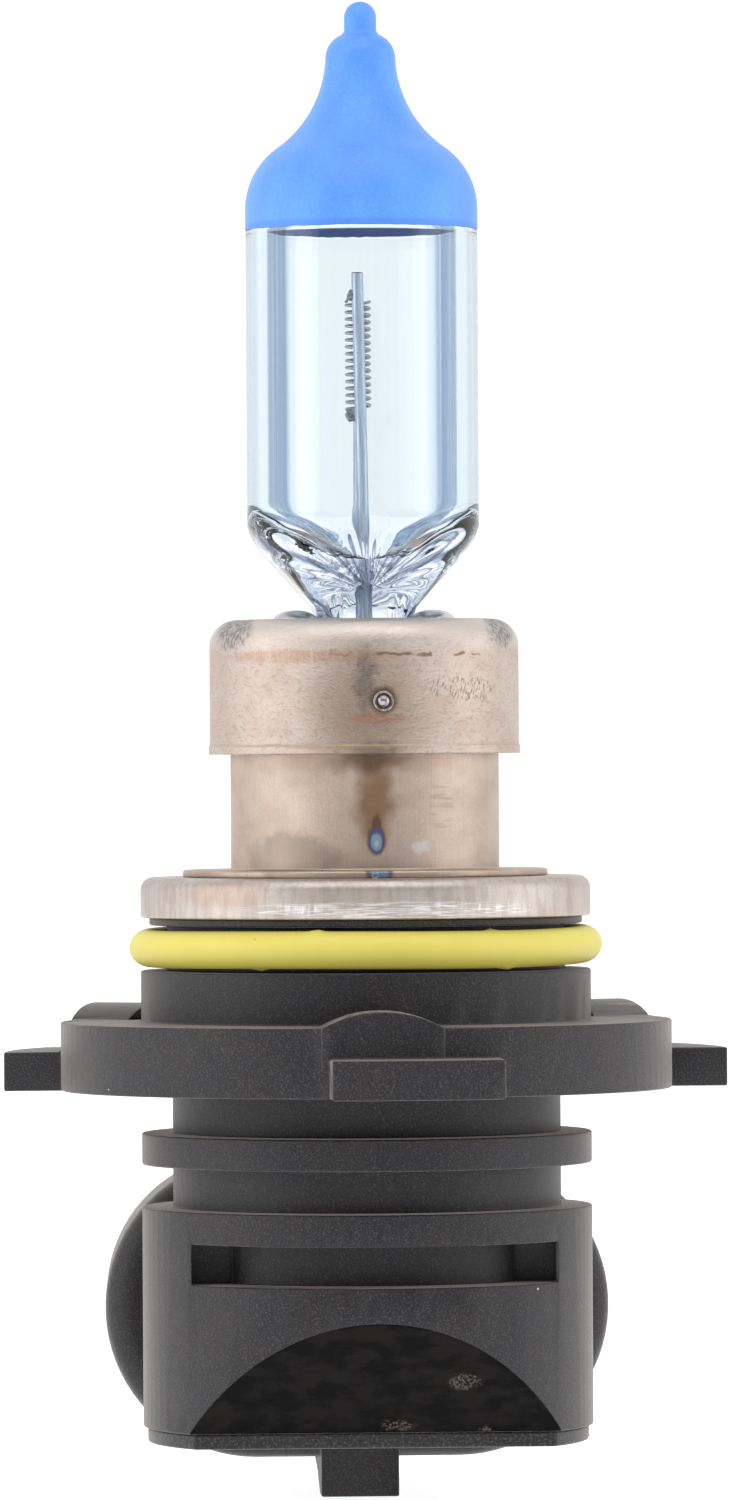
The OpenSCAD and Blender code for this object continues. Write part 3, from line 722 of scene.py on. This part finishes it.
BLADE = plain_metal("blade_metal", (0.76, 0.74, 0.70, 1), (0.62, 0.60, 0.56, 1), 0.30,
                    (0.12, 1.6, 0.12), 0.005)
RUBBER = seal_rubber()
POTTING = moulded_plastic("potting", (0.30, 0.035, 0.02, 1), (0.24, 0.03, 0.018, 1), 0.35,
                          0.6, 0.02)[0]
PLASTIC = base_finish()
COVER = moulded_plastic("cover_plastic", (0.008, 0.008, 0.009, 1), (0.014, 0.0135, 0.0135, 1),
                        0.46, 0.14)[0]


# ---- Glass ----

def dome_outline(inset):
    """Outline of the glass from the shoulder up to the tip, moved inwards by inset."""
    crown_r, fillet_r = 1.22, 0.38
    waist_a, crown_a = 2, 65

    def direction(angle):
        return Vector((math.cos(math.radians(angle)), math.sin(math.radians(angle))))

    shoulder = Vector((TUBE_R - SHOULDER_R, SHOULDER_Z))
    waist = shoulder + (SHOULDER_R + WAIST_R) * direction(SHOULDER_ANGLE)
    crown = waist - (WAIST_R + crown_r) * direction(waist_a)
    fillet = crown + (crown_r + fillet_r) * direction(crown_a)
    button_r = fillet.x - fillet_r
    button = Vector((0, coat_high.z - button_r))
    points = arc(shoulder, SHOULDER_R - inset, 0, SHOULDER_ANGLE, 20)
    points += arc(waist, WAIST_R + inset, 180 + SHOULDER_ANGLE, 180 + waist_a, 24)
    points += arc(crown, crown_r - inset, waist_a, crown_a, 12)
    points += arc(fillet, fillet_r + inset, 180 + crown_a, 180, 8)
    points += arc(button, button_r - inset, 0, 90, 10)
    points[-1].x = 0
    return points


def glass_half_x(z):
    """Half the glass's thickness towards the flat pinch: round shoulder, slope, pinch."""
    pinch_half, slope_x, slope_z, pinch_z = 2.07, 2.45, 20.1, 19.3
    centre_x, centre_z, radius, sweep = 2.45, 25.04, 3.34, 44
    arc_low = centre_z - radius * math.sin(math.radians(sweep))
    arc_x = centre_x + radius * math.cos(math.radians(sweep))
    if z >= centre_z:
        return TUBE_R
    if z >= arc_low:
        return min(TUBE_R, centre_x + math.sqrt(radius ** 2 - (centre_z - z) ** 2))
    if z >= slope_z:
        return slope_x + (arc_x - slope_x) * (z - slope_z) / (arc_low - slope_z)
    return pinch_half + (slope_x - pinch_half) * smoothstep(pinch_z, slope_z, z)


def glass_half_y(z):
    """Half the glass's width across the pinch."""
    return 4.3 + (TUBE_R - 4.3) * smoothstep(19.4, 23.6, z)


def fold_depth(x, z, count):
    """Creases that fan out from the root of the leads where the tube was pressed flat."""
    angle = math.atan2(abs(x) + 0.05, z - LEAD_ROOT_Z)
    fan = math.cos(angle * count + 0.6 * math.sin(angle * 5))
    grown = smoothstep(LEAD_ROOT_Z - 0.4, LEAD_ROOT_Z + 0.2, z)
    return fan * grown * (1 - smoothstep(22.6, 24.2, z))


def glass_envelope():
    bm = bmesh.new()
    around = 192
    coat_t = 0.05
    rings = [[(0, 0, glass_low.z)]]
    heights = [glass_low.z + 0.01] + [glass_low.z + 0.6 * k for k in range(1, 15)]
    heights += [18.2 + 0.15 * k for k in range(52)]
    heights += [26.2 + 1.0 * k for k in range(12)]
    for z in heights:
        round_off = smoothstep(19.6, 25.2, z)
        power = 5.5 + (2 - 5.5) * round_off
        half_x, half_y = glass_half_x(z), glass_half_y(z)
        ring = []
        for a in round_angles(around):
            reach = superellipse(half_x, half_y, power, a)
            x, y = reach * math.cos(a), reach * math.sin(a)
            faces_front = abs(math.sin(a)) ** 2
            fold = 0.09 * fold_depth(x, z, 17) * faces_front
            brow = 0.16 * math.exp(-((z - 21.5 + 0.22 * abs(x)) / 0.22) ** 2)
            groove = 0.10 * math.exp(-((abs(x) - 1.3) / 0.12) ** 2)
            groove *= 1 - smoothstep(20.4, 21.2, z)
            y += math.copysign(fold + brow - groove, y) * faces_front
            ring.append((x, y, z))
        rings.append(ring)
    top = [Vector((TUBE_R, coat_low.z - 0.2)), Vector((TUBE_R, coat_low.z)),
           Vector((TUBE_R - coat_t, coat_low.z + 0.03))] + dome_outline(coat_t)
    rings += turned(top, around)
    skin(bm, rings)
    bmesh.ops.remove_doubles(bm, verts=bm.verts, dist=WELD)
    bmesh.ops.recalc_face_normals(bm, faces=bm.faces)
    outside = set(bm.faces)

    bore = []
    bore_low_z, bore_deep, bore_power, end_y = 25.3, 2.75, 1.9, 4.45
    levels = 40
    for k in range(levels + 1):
        widen = math.sin(math.radians(90 * k / levels))
        half_x = max(BORE_R * widen, 0.002)
        z = bore_low_z - bore_deep * (1 - widen ** bore_power) ** (1 / bore_power)
        grown = smoothstep(bore_low_z - bore_deep, bore_low_z, z)
        half_y = end_y + (BORE_R - end_y) * grown
        ring = []
        for a in round_angles(around):
            reach = superellipse(1.0, 1.0, 4.0 - 2.0 * grown, a)
            x, y = half_x * reach * math.cos(a), half_y * reach * math.sin(a)
            fold = 0.10 * fold_depth(x, z, 13) * abs(math.sin(a)) ** 2
            ring.append((x, y + math.copysign(fold, y), z))
        bore.append(ring)
    bore.insert(0, [(0, 0, bore[0][0][2])])
    shoulder = Vector((TUBE_R - SHOULDER_R, SHOULDER_Z))
    slant = math.radians(SHOULDER_ANGLE)
    waist = shoulder + (SHOULDER_R + WAIST_R) * Vector((math.cos(slant), math.sin(slant)))
    bore_top = arc(shoulder, SHOULDER_R - GLASS_WALL, 0, SHOULDER_ANGLE, 16)
    bore_top += arc(waist, WAIST_R + GLASS_WALL, 180 + SHOULDER_ANGLE, 192, 14)
    bore_top += [Vector((0, 46.6))]
    bore += turned(bore_top, around)
    skin(bm, bore)
    inside = [f for f in bm.faces if f not in outside]
    bmesh.ops.recalc_face_normals(bm, faces=inside)
    bmesh.ops.reverse_faces(bm, faces=inside)
    for face in inside:
        face.material_index = 1
    piece("glass_tube", bm, [GLASS, BORE_GLASS], ["glass_envelope"],
                 sharp=80, outward=False)


def tip_coating():
    """Lacquer on the tip: its lower edge wanders a little and ends in a rounded bead."""
    bm = bmesh.new()
    around = 192
    inner = [p.copy() for p in dome_outline(0.1)]
    outer = dome_outline(-0.005)
    outline = inner[::-1] + [Vector((TUBE_R - 0.1, coat_low.z + 0.02)),
                             Vector((TUBE_R - 0.04, coat_low.z)),
                             Vector((TUBE_R + 0.01, coat_low.z + 0.03)),
                             Vector((TUBE_R + 0.02, coat_low.z + 0.12)),
                             Vector((TUBE_R + 0.005, coat_low.z + 0.3))] + outer
    rings = turned(outline, around)
    wander_top = coat_low.z + 0.32
    for ring in rings:
        for k, (x, y, z) in enumerate(ring):
            if z > wander_top:
                continue
            a = 2 * math.pi * k / around
            drift = noise.noise(Vector((3 * math.cos(a), 3 * math.sin(a), 0)))
            nick = noise.noise(Vector((14 * math.cos(a), 14 * math.sin(a), 5)))
            ring[k] = (x, y, z + 0.05 * drift + 0.03 * nick)
    skin(bm, rings)
    piece("blue_tip", bm, COAT, ["tip_coating"])


glass_envelope()
tip_coating()


# ---- Filament, clips and wires ----

SOCKET_KINDS = {int: "NodeSocketInt", float: "NodeSocketFloat", tuple: "NodeSocketVector"}


def geometry_tree(name, settings):
    """An empty geometry tree with an input for each setting. Returns it and those sockets."""
    tree = bpy.data.node_groups.new(name, "GeometryNodeTree")
    tree.interface.new_socket("Geometry", in_out="OUTPUT", socket_type="NodeSocketGeometry")
    for label, value in settings.items():
        socket = tree.interface.new_socket(label, in_out="INPUT",
                                           socket_type=SOCKET_KINDS[type(value)])
        socket.default_value = value
    return tree, tree.nodes.new("NodeGroupInput").outputs


def run_tree(name, tree, settings, result, material, nodes):
    """Ends a geometry tree, runs it with its settings and keeps a plain mesh piece."""
    real = add(tree, "GeometryNodeRealizeInstances", {"Geometry": result})
    end = tree.nodes.new("NodeGroupOutput")
    tree.links.new(real.outputs[0], end.inputs[0])
    holder = bpy.data.objects.new(name + "_maker", bpy.data.meshes.new(name + "_maker"))
    bpy.context.scene.collection.objects.link(holder)
    modifier = holder.modifiers.new("tree", "NODES")
    modifier.node_group = tree
    for socket in tree.interface.items_tree:
        if socket.name in settings:
            modifier[socket.identifier] = settings[socket.name]
    bpy.context.view_layer.update()
    depsgraph = bpy.context.evaluated_depsgraph_get()
    mesh = bpy.data.meshes.new_from_object(holder.evaluated_get(depsgraph))
    holder.modifiers.remove(modifier)
    bpy.data.objects.remove(holder)
    mesh.name = name
    mesh.materials.clear()
    finish_piece(name, mesh, material, nodes, sharp=60)


def tube_along(bm, path, radius, sides=16):
    """A round rod along a path of points in millimetres, closed at both ends."""
    points = [Vector(p) for p in path]
    rings = [[points[0]]]
    side = None
    for i, here in enumerate(points):
        ahead = points[min(i + 1, len(points) - 1)]
        behind = points[max(i - 1, 0)]
        along = (ahead - behind).normalized()
        if side is None:
            side = along.orthogonal().normalized()
        side = (side - along * side.dot(along)).normalized()
        up = along.cross(side)
        radius_here = radius(i) if callable(radius) else radius
        rings.append([here + radius_here * (math.cos(a) * side + math.sin(a) * up)
                      for a in round_angles(sides)])
    rings.append([points[-1]])
    skin(bm, rings)


FILAMENT_WIRE_R = 0.075
FILAMENT_LEG = 0.34


def filament():
    """The coil: a helix on the Z axis, swept with a round section and moved into place."""
    low_z = coil_low.z + FILAMENT_LEG
    settings = {"Turns": 15.5, "Coil Radius": leg_r * MM,
                "Length": (coil_high.z - FILAMENT_LEG - low_z) * MM,
                "Wire Radius": FILAMENT_WIRE_R * MM, "Place": (coil_x * MM, 0.0, low_z * MM),
                "Start Turn": (0.0, 0.0, math.radians(180))}
    tree, given = geometry_tree("wound_wire", settings)
    helix = add(tree, "GeometryNodeCurveSpiral",
                {"Resolution": 28, "Rotations": given["Turns"],
                 "Start Radius": given["Coil Radius"], "End Radius": given["Coil Radius"],
                 "Height": given["Length"], "Reverse": False})
    placed = add(tree, "GeometryNodeTransform",
                 {"Geometry": helix.outputs[0], "Translation": given["Place"],
                  "Rotation": given["Start Turn"]})
    section = add(tree, "GeometryNodeCurvePrimitiveCircle",
                  {"Resolution": 10, "Radius": given["Wire Radius"]})
    swept = add(tree, "GeometryNodeCurveToMesh",
                {"Curve": placed.outputs[0], "Profile Curve": section.outputs[0],
                 "Fill Caps": True})
    run_tree("filament_coil", tree, settings, swept.outputs[0], TUNGSTEN,
             ["filament"])


def filament_leg(name, start, end):
    """The straight end of the filament, from the coil to its clip."""
    bm = bmesh.new()
    middle = (Vector(start) + Vector(end)) / 2 + Vector((-0.05, 0, 0))
    tube_along(bm, [start, middle, end], FILAMENT_WIRE_R, 10)
    piece(name, bm, TUNGSTEN, ["filament"])


def clip(name, node):
    """A crimped scrap of sheet that pinches the filament's end on to its support."""
    low, high = box_mm(node)
    bm = bmesh.new()
    mid_x = (low.x + high.x) / 2
    mid_z = (low.z + high.z) / 2
    steps = 14
    path = []
    for k in range(steps + 1):
        y = low.y + (high.y - low.y) * k / steps
        path.append((mid_x, y, mid_z))
    half = (high.x - low.x) / 2

    def crushed(i):
        ends = math.sin(math.pi * min(max(i / steps, 0.12), 0.88))
        return half * (0.75 + 0.3 * ends)

    tube_along(bm, path, crushed, 20)
    for vertex in bm.verts:
        p = vertex.co / MM
        push = noise.noise_vector(p * 3.1 + Vector((0, 0, 7)))
        vertex.co += push * 0.09 * MM
        vertex.co.z += 0.06 * MM * noise.noise(p * 6.0)
    piece(name, bm, CLIP, [node], sharp=25)


def support_wire(name, node, lean=0.0):
    """A straight drawn wire with a cut end, standing in the pinch and leaning a little."""
    low, high = box_mm(node)
    bm = bmesh.new()
    x = (low.x + high.x) / 2
    y = (low.y + high.y) / 2
    edge = 0.04
    root_x, top_x = x + lean, x - lean
    path = [(root_x, y, low.z), (top_x, y, high.z - edge), (top_x, y, high.z)]
    tube_along(bm, path, lambda i: WIRE_R if i < 2 else WIRE_R - edge, 32)
    piece(name, bm, SUPPORT, [node])


def lead_pin(name, node, side):
    """A round lead: down from its foil, across to its blade, and down through the blade."""
    low, high = box_mm(node)
    radius = 0.4
    foot_x = (high.x - radius - 0.04) if side > 0 else (low.x + radius + 0.04)
    top_y = side * 1.9
    corners = [Vector((0, top_y, high.z)), Vector((0, top_y, 7.6)),
               Vector((foot_x, 0, 2.2)), Vector((foot_x, 0, low.z))]
    path = [corners[0]]
    for before, here, after in zip(corners, corners[1:], corners[2:]):
        start = here + (before - here).normalized() * 1.2
        end = here + (after - here).normalized() * 1.2
        for k in range(9):
            t = k / 8
            path.append(start * (1 - t) ** 2 + here * 2 * t * (1 - t) + end * t ** 2)
    path.append(corners[-1])
    bm = bmesh.new()
    tube_along(bm, path, radius, 20)
    piece(name, bm, SUPPORT, [node])


def sealing_foil(name, node):
    """Feather-edged foil: thick in the middle, thin at its two long edges."""
    low, high = box_mm(node)
    bm = bmesh.new()
    mid_y = (low.y + high.y) / 2
    half_y = (high.y - low.y) / 2
    rings = [[(high.x * math.cos(a), mid_y + half_y * math.sin(a), z) for a in round_angles(32)]
             for z in (low.z, high.z)]
    skin(bm, [[(0, mid_y, low.z)]] + rings + [[(0, mid_y, high.z)]])
    piece(name, bm, FOIL, [node])


coil_x = (coil_low.x + coil_high.x) / 2
leg_r = (coil_high.x - coil_low.x) / 2 - FILAMENT_WIRE_R
filament()
filament_leg("filament_lower_leg", (coil_x - leg_r, 0, coil_low.z + FILAMENT_LEG),
             (coil_x - 0.3, 0.5, coil_low.z + 0.05))
filament_leg("filament_upper_leg", (coil_x - leg_r, 0, coil_high.z - FILAMENT_LEG),
             (coil_x - 0.3, -0.5, coil_high.z - 0.05))
clip("upper_clip", "upper_filament_clip")
clip("lower_clip", "lower_filament_clip")
support_wire("long_support", "long_support_wire", 0.17)
support_wire("short_support", "short_support_wire")
lead_pin("front_lead", "front_lead_pin", -1)
lead_pin("rear_lead", "rear_lead_pin", 1)
sealing_foil("front_sealing_foil", "front_foil")
sealing_foil("rear_sealing_foil", "rear_foil")


# ---- Steel cups ----

def pinch_clamp():
    """Band and strips round the pinch, and the two sprung tongues on the cup's top."""
    bm = bmesh.new()
    strip_x = 2.07
    sheet = 0.38
    half_y = 2.6
    for side in (-1, 1):
        strip = sorted((side * strip_x, side * (strip_x + sheet)))
        bar(bm, (strip[0], -half_y, clamp_low.z), (strip[1], half_y, can_high.z - 0.4), 0.08)
        end_y = sorted((side * 4.3, side * (4.3 + sheet)))
        bar(bm, (-strip_x - sheet, end_y[0], clamp_low.z), (strip_x + sheet, end_y[1], 14), 0.08)
        tongue_x = (2.3 + clamp_high.x) / 2
        pillow(bm, (side * tongue_x, 0, can_high.z), (clamp_high.x - tongue_x, half_y,
               clamp_high.z - can_high.z), 2.4, 40, 16)
    piece("clamp", bm, CLAMP, ["pinch_clamp"])


def focus_can():
    """The upper cup: rounded shoulder, a folded lip, and a slot in its top for the pinch."""
    top, low = can_high.z, can_low.z
    shoulder = 1.3
    slot_x, slot_y = 2.8, 4.85
    inner = CAN_R - SHEET
    lip = CAN_R + LIP_OUT
    outline = [Vector(corner) for corner in (
        (inner, low + 0.06), (inner + 0.06, low), (lip - 0.05, low), (lip, low + 0.05),
        (lip, low + 0.40), (CAN_R + 0.01, low + 0.47), (CAN_R, low + 0.6), (CAN_R, low + 2.6),
        (CAN_R, top - shoulder - 1.0))]
    outline += arc((CAN_R - shoulder, top - shoulder), shoulder, 0, 90, 14)
    bm = bmesh.new()
    rings = turned(outline)
    flat_r = CAN_R - shoulder
    for level, order in ((top, (0.75, 0.5, 0.25, 0.04, 0.0)), (top - SHEET, (0.0, 0.5, 1.0))):
        for share in order:
            ring = []
            for a in round_angles(SEGMENTS):
                reach = superellipse(slot_x, slot_y, 6, a)
                r = reach + (flat_r - reach) * share
                drop = 0.05 if share == 0.0 and level == top else 0.0
                ring.append((r * math.cos(a), r * math.sin(a), level - drop))
            rings.append(ring)
    inside = arc((CAN_R - shoulder, top - shoulder), shoulder - SHEET, 90, 0, 8)
    rings += turned(inside[1:])
    skin(bm, rings, closed=True)
    piece("focusing_cup", bm, CUP, ["focus_can"])


def weld_nuggets(name, material, node, ring_r, height, first_angle, ball_r, crater_r, sink):
    """Weld nuggets set evenly round the axis, each a ball in a low crater ring."""
    settings = {"Count": 3, "Circle Radius": ring_r * MM, "Height": height * MM,
                "First Angle": math.radians(first_angle), "Ball Radius": ball_r * MM,
                "Crater Radius": crater_r * MM, "Ball Sink": sink * MM}
    tree, given = geometry_tree(name, settings)
    circle = add(tree, "GeometryNodeMeshCircle",
                 {"Vertices": given["Count"], "Radius": given["Circle Radius"]})
    spin = add(tree, "ShaderNodeCombineXYZ", {"Z": given["First Angle"]})
    lift = add(tree, "ShaderNodeCombineXYZ", {"Z": given["Height"]})
    spots = add(tree, "GeometryNodeTransform",
                {"Geometry": circle.outputs[0], "Translation": lift.outputs[0],
                 "Rotation": spin.outputs[0]})
    ball = add(tree, "GeometryNodeMeshUVSphere",
               {"Segments": 32, "Rings": 20, "Radius": given["Ball Radius"]})
    sunk = add(tree, "ShaderNodeCombineXYZ", {"Z": times(tree, given["Ball Sink"], -1.0)})
    ball_in = add(tree, "GeometryNodeTransform",
                  {"Geometry": ball.outputs[0], "Translation": sunk.outputs[0]})
    path = add(tree, "GeometryNodeCurvePrimitiveCircle",
               {"Resolution": 40, "Radius": given["Crater Radius"]})
    section = add(tree, "GeometryNodeCurvePrimitiveCircle",
                  {"Resolution": 10, "Radius": 0.07 * MM})
    crater = add(tree, "GeometryNodeCurveToMesh",
                 {"Curve": path.outputs[0], "Profile Curve": section.outputs[0]})
    both = tree.nodes.new("GeometryNodeJoinGeometry")
    tree.links.new(ball_in.outputs[0], both.inputs[0])
    tree.links.new(crater.outputs[0], both.inputs[0])
    position = add(tree, "GeometryNodeInputPosition")
    flat = add(tree, "ShaderNodeVectorMath", {0: position.outputs[0], 1: (1, 1, 0)},
               operation="MULTIPLY")
    facing = add(tree, "FunctionNodeAlignRotationToVector", {"Vector": flat.outputs[0]},
                 axis="Z")
    placed = add(tree, "GeometryNodeInstanceOnPoints",
                 {"Points": spots.outputs[0], "Instance": both.outputs[0],
                  "Rotation": facing.outputs[0]})
    run_tree(name, tree, settings, placed.outputs[0], material, [node])


def mounting_sleeve():
    """The lower sleeve: foot disc, straight tube and a belled top hidden in the cup."""
    foot = sleeve_high.x
    tube = SLEEVE_R
    bell = CAN_R - SHEET - 0.02
    corners = [
        (tube - SHEET, sleeve_low.z, 0.3), (foot, sleeve_low.z, 0.1), (foot, FOOT_TOP, 0.12),
        (tube, FOOT_TOP, 0.12), (tube, 13.7, 0.4), (bell, 14.3, 0.3),
        (bell, sleeve_high.z, 0.08), (bell - SHEET, sleeve_high.z, 0.08),
        (bell - SHEET, 14.3, 0.3), (tube - SHEET, 13.7, 0.3)]
    lathe("lower_sleeve", rounded(corners), SLEEVE, ["mounting_sleeve"])


def base_ring():
    """The drawn ring: rounded upper edge, a crisp rolled lower edge, open underneath."""
    top, low = ring_high.z, RING_LOW_Z
    wall = 0.5
    skirt_in, skirt_out, skirt_low = 5.9, 6.3, 2.2
    corners = [
        (RING_R - wall, low, 0.08), (RING_R, low, 0.12), (RING_R, top, 0.6),
        (skirt_in, top, 0.3), (skirt_in, skirt_low, 0.08), (skirt_out, skirt_low, 0.08),
        (skirt_out, top - wall, 0.2), (RING_R - wall, top - wall, 0.25)]
    lathe("pilot_ring", rounded(corners, 7), RING, ["base_ring"])


pinch_clamp()
focus_can()
weld_nuggets("cup_welds", WELD_STEEL, "can_welds", ring_r=CAN_R, height=can_low.z + 2.55,
             first_angle=-86, ball_r=0.34, crater_r=0.44, sink=0.10)
mounting_sleeve()
weld_nuggets("foot_welds", SLEEVE, "sleeve_welds", ring_r=sleeve_high.x + 0.02,
             height=sleeve_low.z + 0.1, first_angle=-90, ball_r=0.20, crater_r=0.12, sink=0.14)
base_ring()


# ---- Seal and potting ----

def o_ring():
    """The stretched seal: it waves a little in its groove and carries its mould's flash."""
    bm = bmesh.new()
    around, sides = 240, 36
    nubs = ((-0.27, 74), (0.55, 98), (-0.55, 262), (0.62, 286), (2.6, 90), (3.9, 270))
    rings = []
    for a in round_angles(around):
        wave = 0.05 * math.sin(a + 0.4) + 0.035 * math.sin(3 * a + 1.1)
        ring = []
        for b in round_angles(sides):
            radius = SEAL_D / 2
            for nub_a, nub_b in nubs:
                off_a = (a - math.pi * 1.5 - nub_a + math.pi) % (2 * math.pi) - math.pi
                off_b = b - math.radians(nub_b)
                size = (off_a * SEAL_MID_R / 0.28) ** 2 + (off_b * SEAL_D / 2 / 0.2) ** 2
                radius += 0.12 * math.exp(-size)
            radius += 0.02 * math.exp(-(math.sin(b) / 0.05) ** 2) * (math.cos(b) > 0)
            reach = SEAL_MID_R + radius * math.cos(b)
            ring.append((reach * math.cos(a), reach * math.sin(a),
                         SEAL_Z + wave + radius * math.sin(b)))
        rings.append(ring)
    skin(bm, rings, closed=True)
    piece("seal_ring", bm, RUBBER, ["o_ring"], sharp=60)


def lead_seal():
    """Potting in the well, drawn up a little round each lead and at the wall."""
    low, high = box_mm("lead_seal")
    bm = bmesh.new()
    radii = [high.x * k / 20 for k in range(19, 0, -1)]
    rings = [[(0, 0, low.z)]] + turned([(high.x, low.z), (high.x, high.z)])
    for radius in radii:
        ring = []
        for a in round_angles(SEGMENTS):
            x, y = radius * math.cos(a), radius * math.sin(a)
            climb = 0.25 * math.exp(-((abs(x) - 3.9) ** 2 + y ** 2) / 0.6)
            sag = -0.15 * math.sin(math.pi * radius / high.x)
            ring.append((x, y, high.z + climb + sag))
        rings.append(ring)
    rings.append([(0, 0, high.z)])
    skin(bm, rings)
    piece("lead_potting", bm, POTTING, ["lead_seal"])


o_ring()
lead_seal()


# ---- Base, cover and terminals ----

def eased_copy(name, node, material, width):
    """A piece with a CAD node's shape, its edges eased as a mould or a press leaves them."""
    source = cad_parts[node]
    bm = bmesh.new()
    bm.from_mesh(source.data)
    bmesh.ops.remove_doubles(bm, verts=bm.verts, dist=2e-6)
    bmesh.ops.dissolve_degenerate(bm, edges=bm.edges, dist=2e-6)
    bmesh.ops.dissolve_limit(bm, angle_limit=math.radians(0.8), verts=bm.verts,
                             edges=bm.edges)
    mesh = bpy.data.meshes.new(name)
    bm.to_mesh(mesh)
    bm.free()
    made = finish_piece(name, mesh, material, [node])
    easing = made.modifiers.new("eased_edges", "BEVEL")
    easing.width = width * MM
    easing.segments = 2
    easing.limit_method = "ANGLE"
    easing.angle_limit = math.radians(35)
    easing.use_clamp_overlap = False
    easing.miter_outer = "MITER_ARC"
    easing.harden_normals = True


eased_copy("moulded_base", "plastic_base", PLASTIC, 0.09)
eased_copy("base_cover", "bottom_cover", COVER, 0.12)
eased_copy("left_blade", "left_terminal", BLADE, 0.06)
eased_copy("right_blade", "right_terminal", BLADE, 0.06)
eased_copy("blade_welds", "terminal_welds", WELD_STEEL, 0.12)


# ---- Floor, light and camera ----

def floor():
    bm = bmesh.new()
    bmesh.ops.create_circle(bm, cap_ends=True, segments=96, radius=0.9)
    bmesh.ops.translate(bm, vec=(0, 0, cad_low.z - 0.05 * MM), verts=bm.verts)
    mesh = bpy.data.meshes.new("floor")
    bm.to_mesh(mesh)
    bm.free()
    mesh.materials.append(pale_floor())
    made = bpy.data.objects.new("floor", mesh)
    bpy.context.scene.collection.objects.link(made)


def studio_world():
    """White surroundings, dimmer on the camera's side so that round metal shows its form.

    Seen directly or through the glass they are as bright as the floor.
    """
    world = bpy.data.worlds.new("studio")
    world.use_nodes = True
    bpy.context.scene.world = world
    tree = world.node_tree
    background = tree.nodes["Background"]
    direction = add(tree, "ShaderNodeTexCoord").outputs["Generated"]
    parts = add(tree, "ShaderNodeSeparateXYZ", {"Vector": direction})
    level = rescale(tree, parts.outputs["Y"], 0.34, 1.06, -1.0, 0.6, "SMOOTHSTEP")
    ray = add(tree, "ShaderNodeLightPath").outputs
    level = blend(tree, times(tree, ray["Is Transmission Ray"], 0.9), level, grey(1.27))
    level = blend(tree, ray["Is Camera Ray"], level, grey(1.2))
    plug(tree, background.inputs["Color"], level)
    background.inputs["Strength"].default_value = 1.0


def softbox(name, place, size, power, target=(0, 0, 0.015)):
    data = bpy.data.lights.new(name, "AREA")
    data.shape = "RECTANGLE"
    data.size, data.size_y = size
    data.energy = power
    made = bpy.data.objects.new(name, data)
    made.location = place
    made.rotation_mode = "QUATERNION"
    made.rotation_quaternion = (Vector(target) - Vector(place)).to_track_quat("-Z", "Y")
    bpy.context.scene.collection.objects.link(made)


def camera():
    """A long lens level with the steel cups, a little left of the front and barely tipped."""
    distance = 0.485
    azimuth, elevation, roll = math.radians(-3.1), math.radians(0.0), math.radians(-0.35)
    target = Vector((0.0, 0.0, 13.2 * MM))
    frame_height = 73.35 * MM
    sensor = 36.0
    back = Vector((math.sin(azimuth) * math.cos(elevation),
                   -math.cos(azimuth) * math.cos(elevation), math.sin(elevation)))
    data = bpy.data.cameras.new("camera")
    data.sensor_width = sensor
    data.lens = sensor * distance / frame_height
    data.clip_start = 0.01
    data.clip_end = 50
    made = bpy.data.objects.new("camera", data)
    made.location = target + back * distance
    made.rotation_mode = "QUATERNION"
    turn = (-back).to_track_quat("-Z", "Y")
    made.rotation_quaternion = turn @ Quaternion((0, 0, 1), roll)
    bpy.context.scene.collection.objects.link(made)
    bpy.context.scene.camera = made


floor()
studio_world()
softbox("top_light", (0.0, -0.28, 0.58), (0.8, 0.5), 2.1)
softbox("left_light", (-0.22, -0.06, 0.02), (0.18, 0.34), 0.26, (0, 0, 0))
softbox("right_light", (0.25, -0.06, 0.02), (0.18, 0.34), 0.22, (0, 0, 0))
camera()
bpy.context.scene.view_settings.view_transform = "Standard"
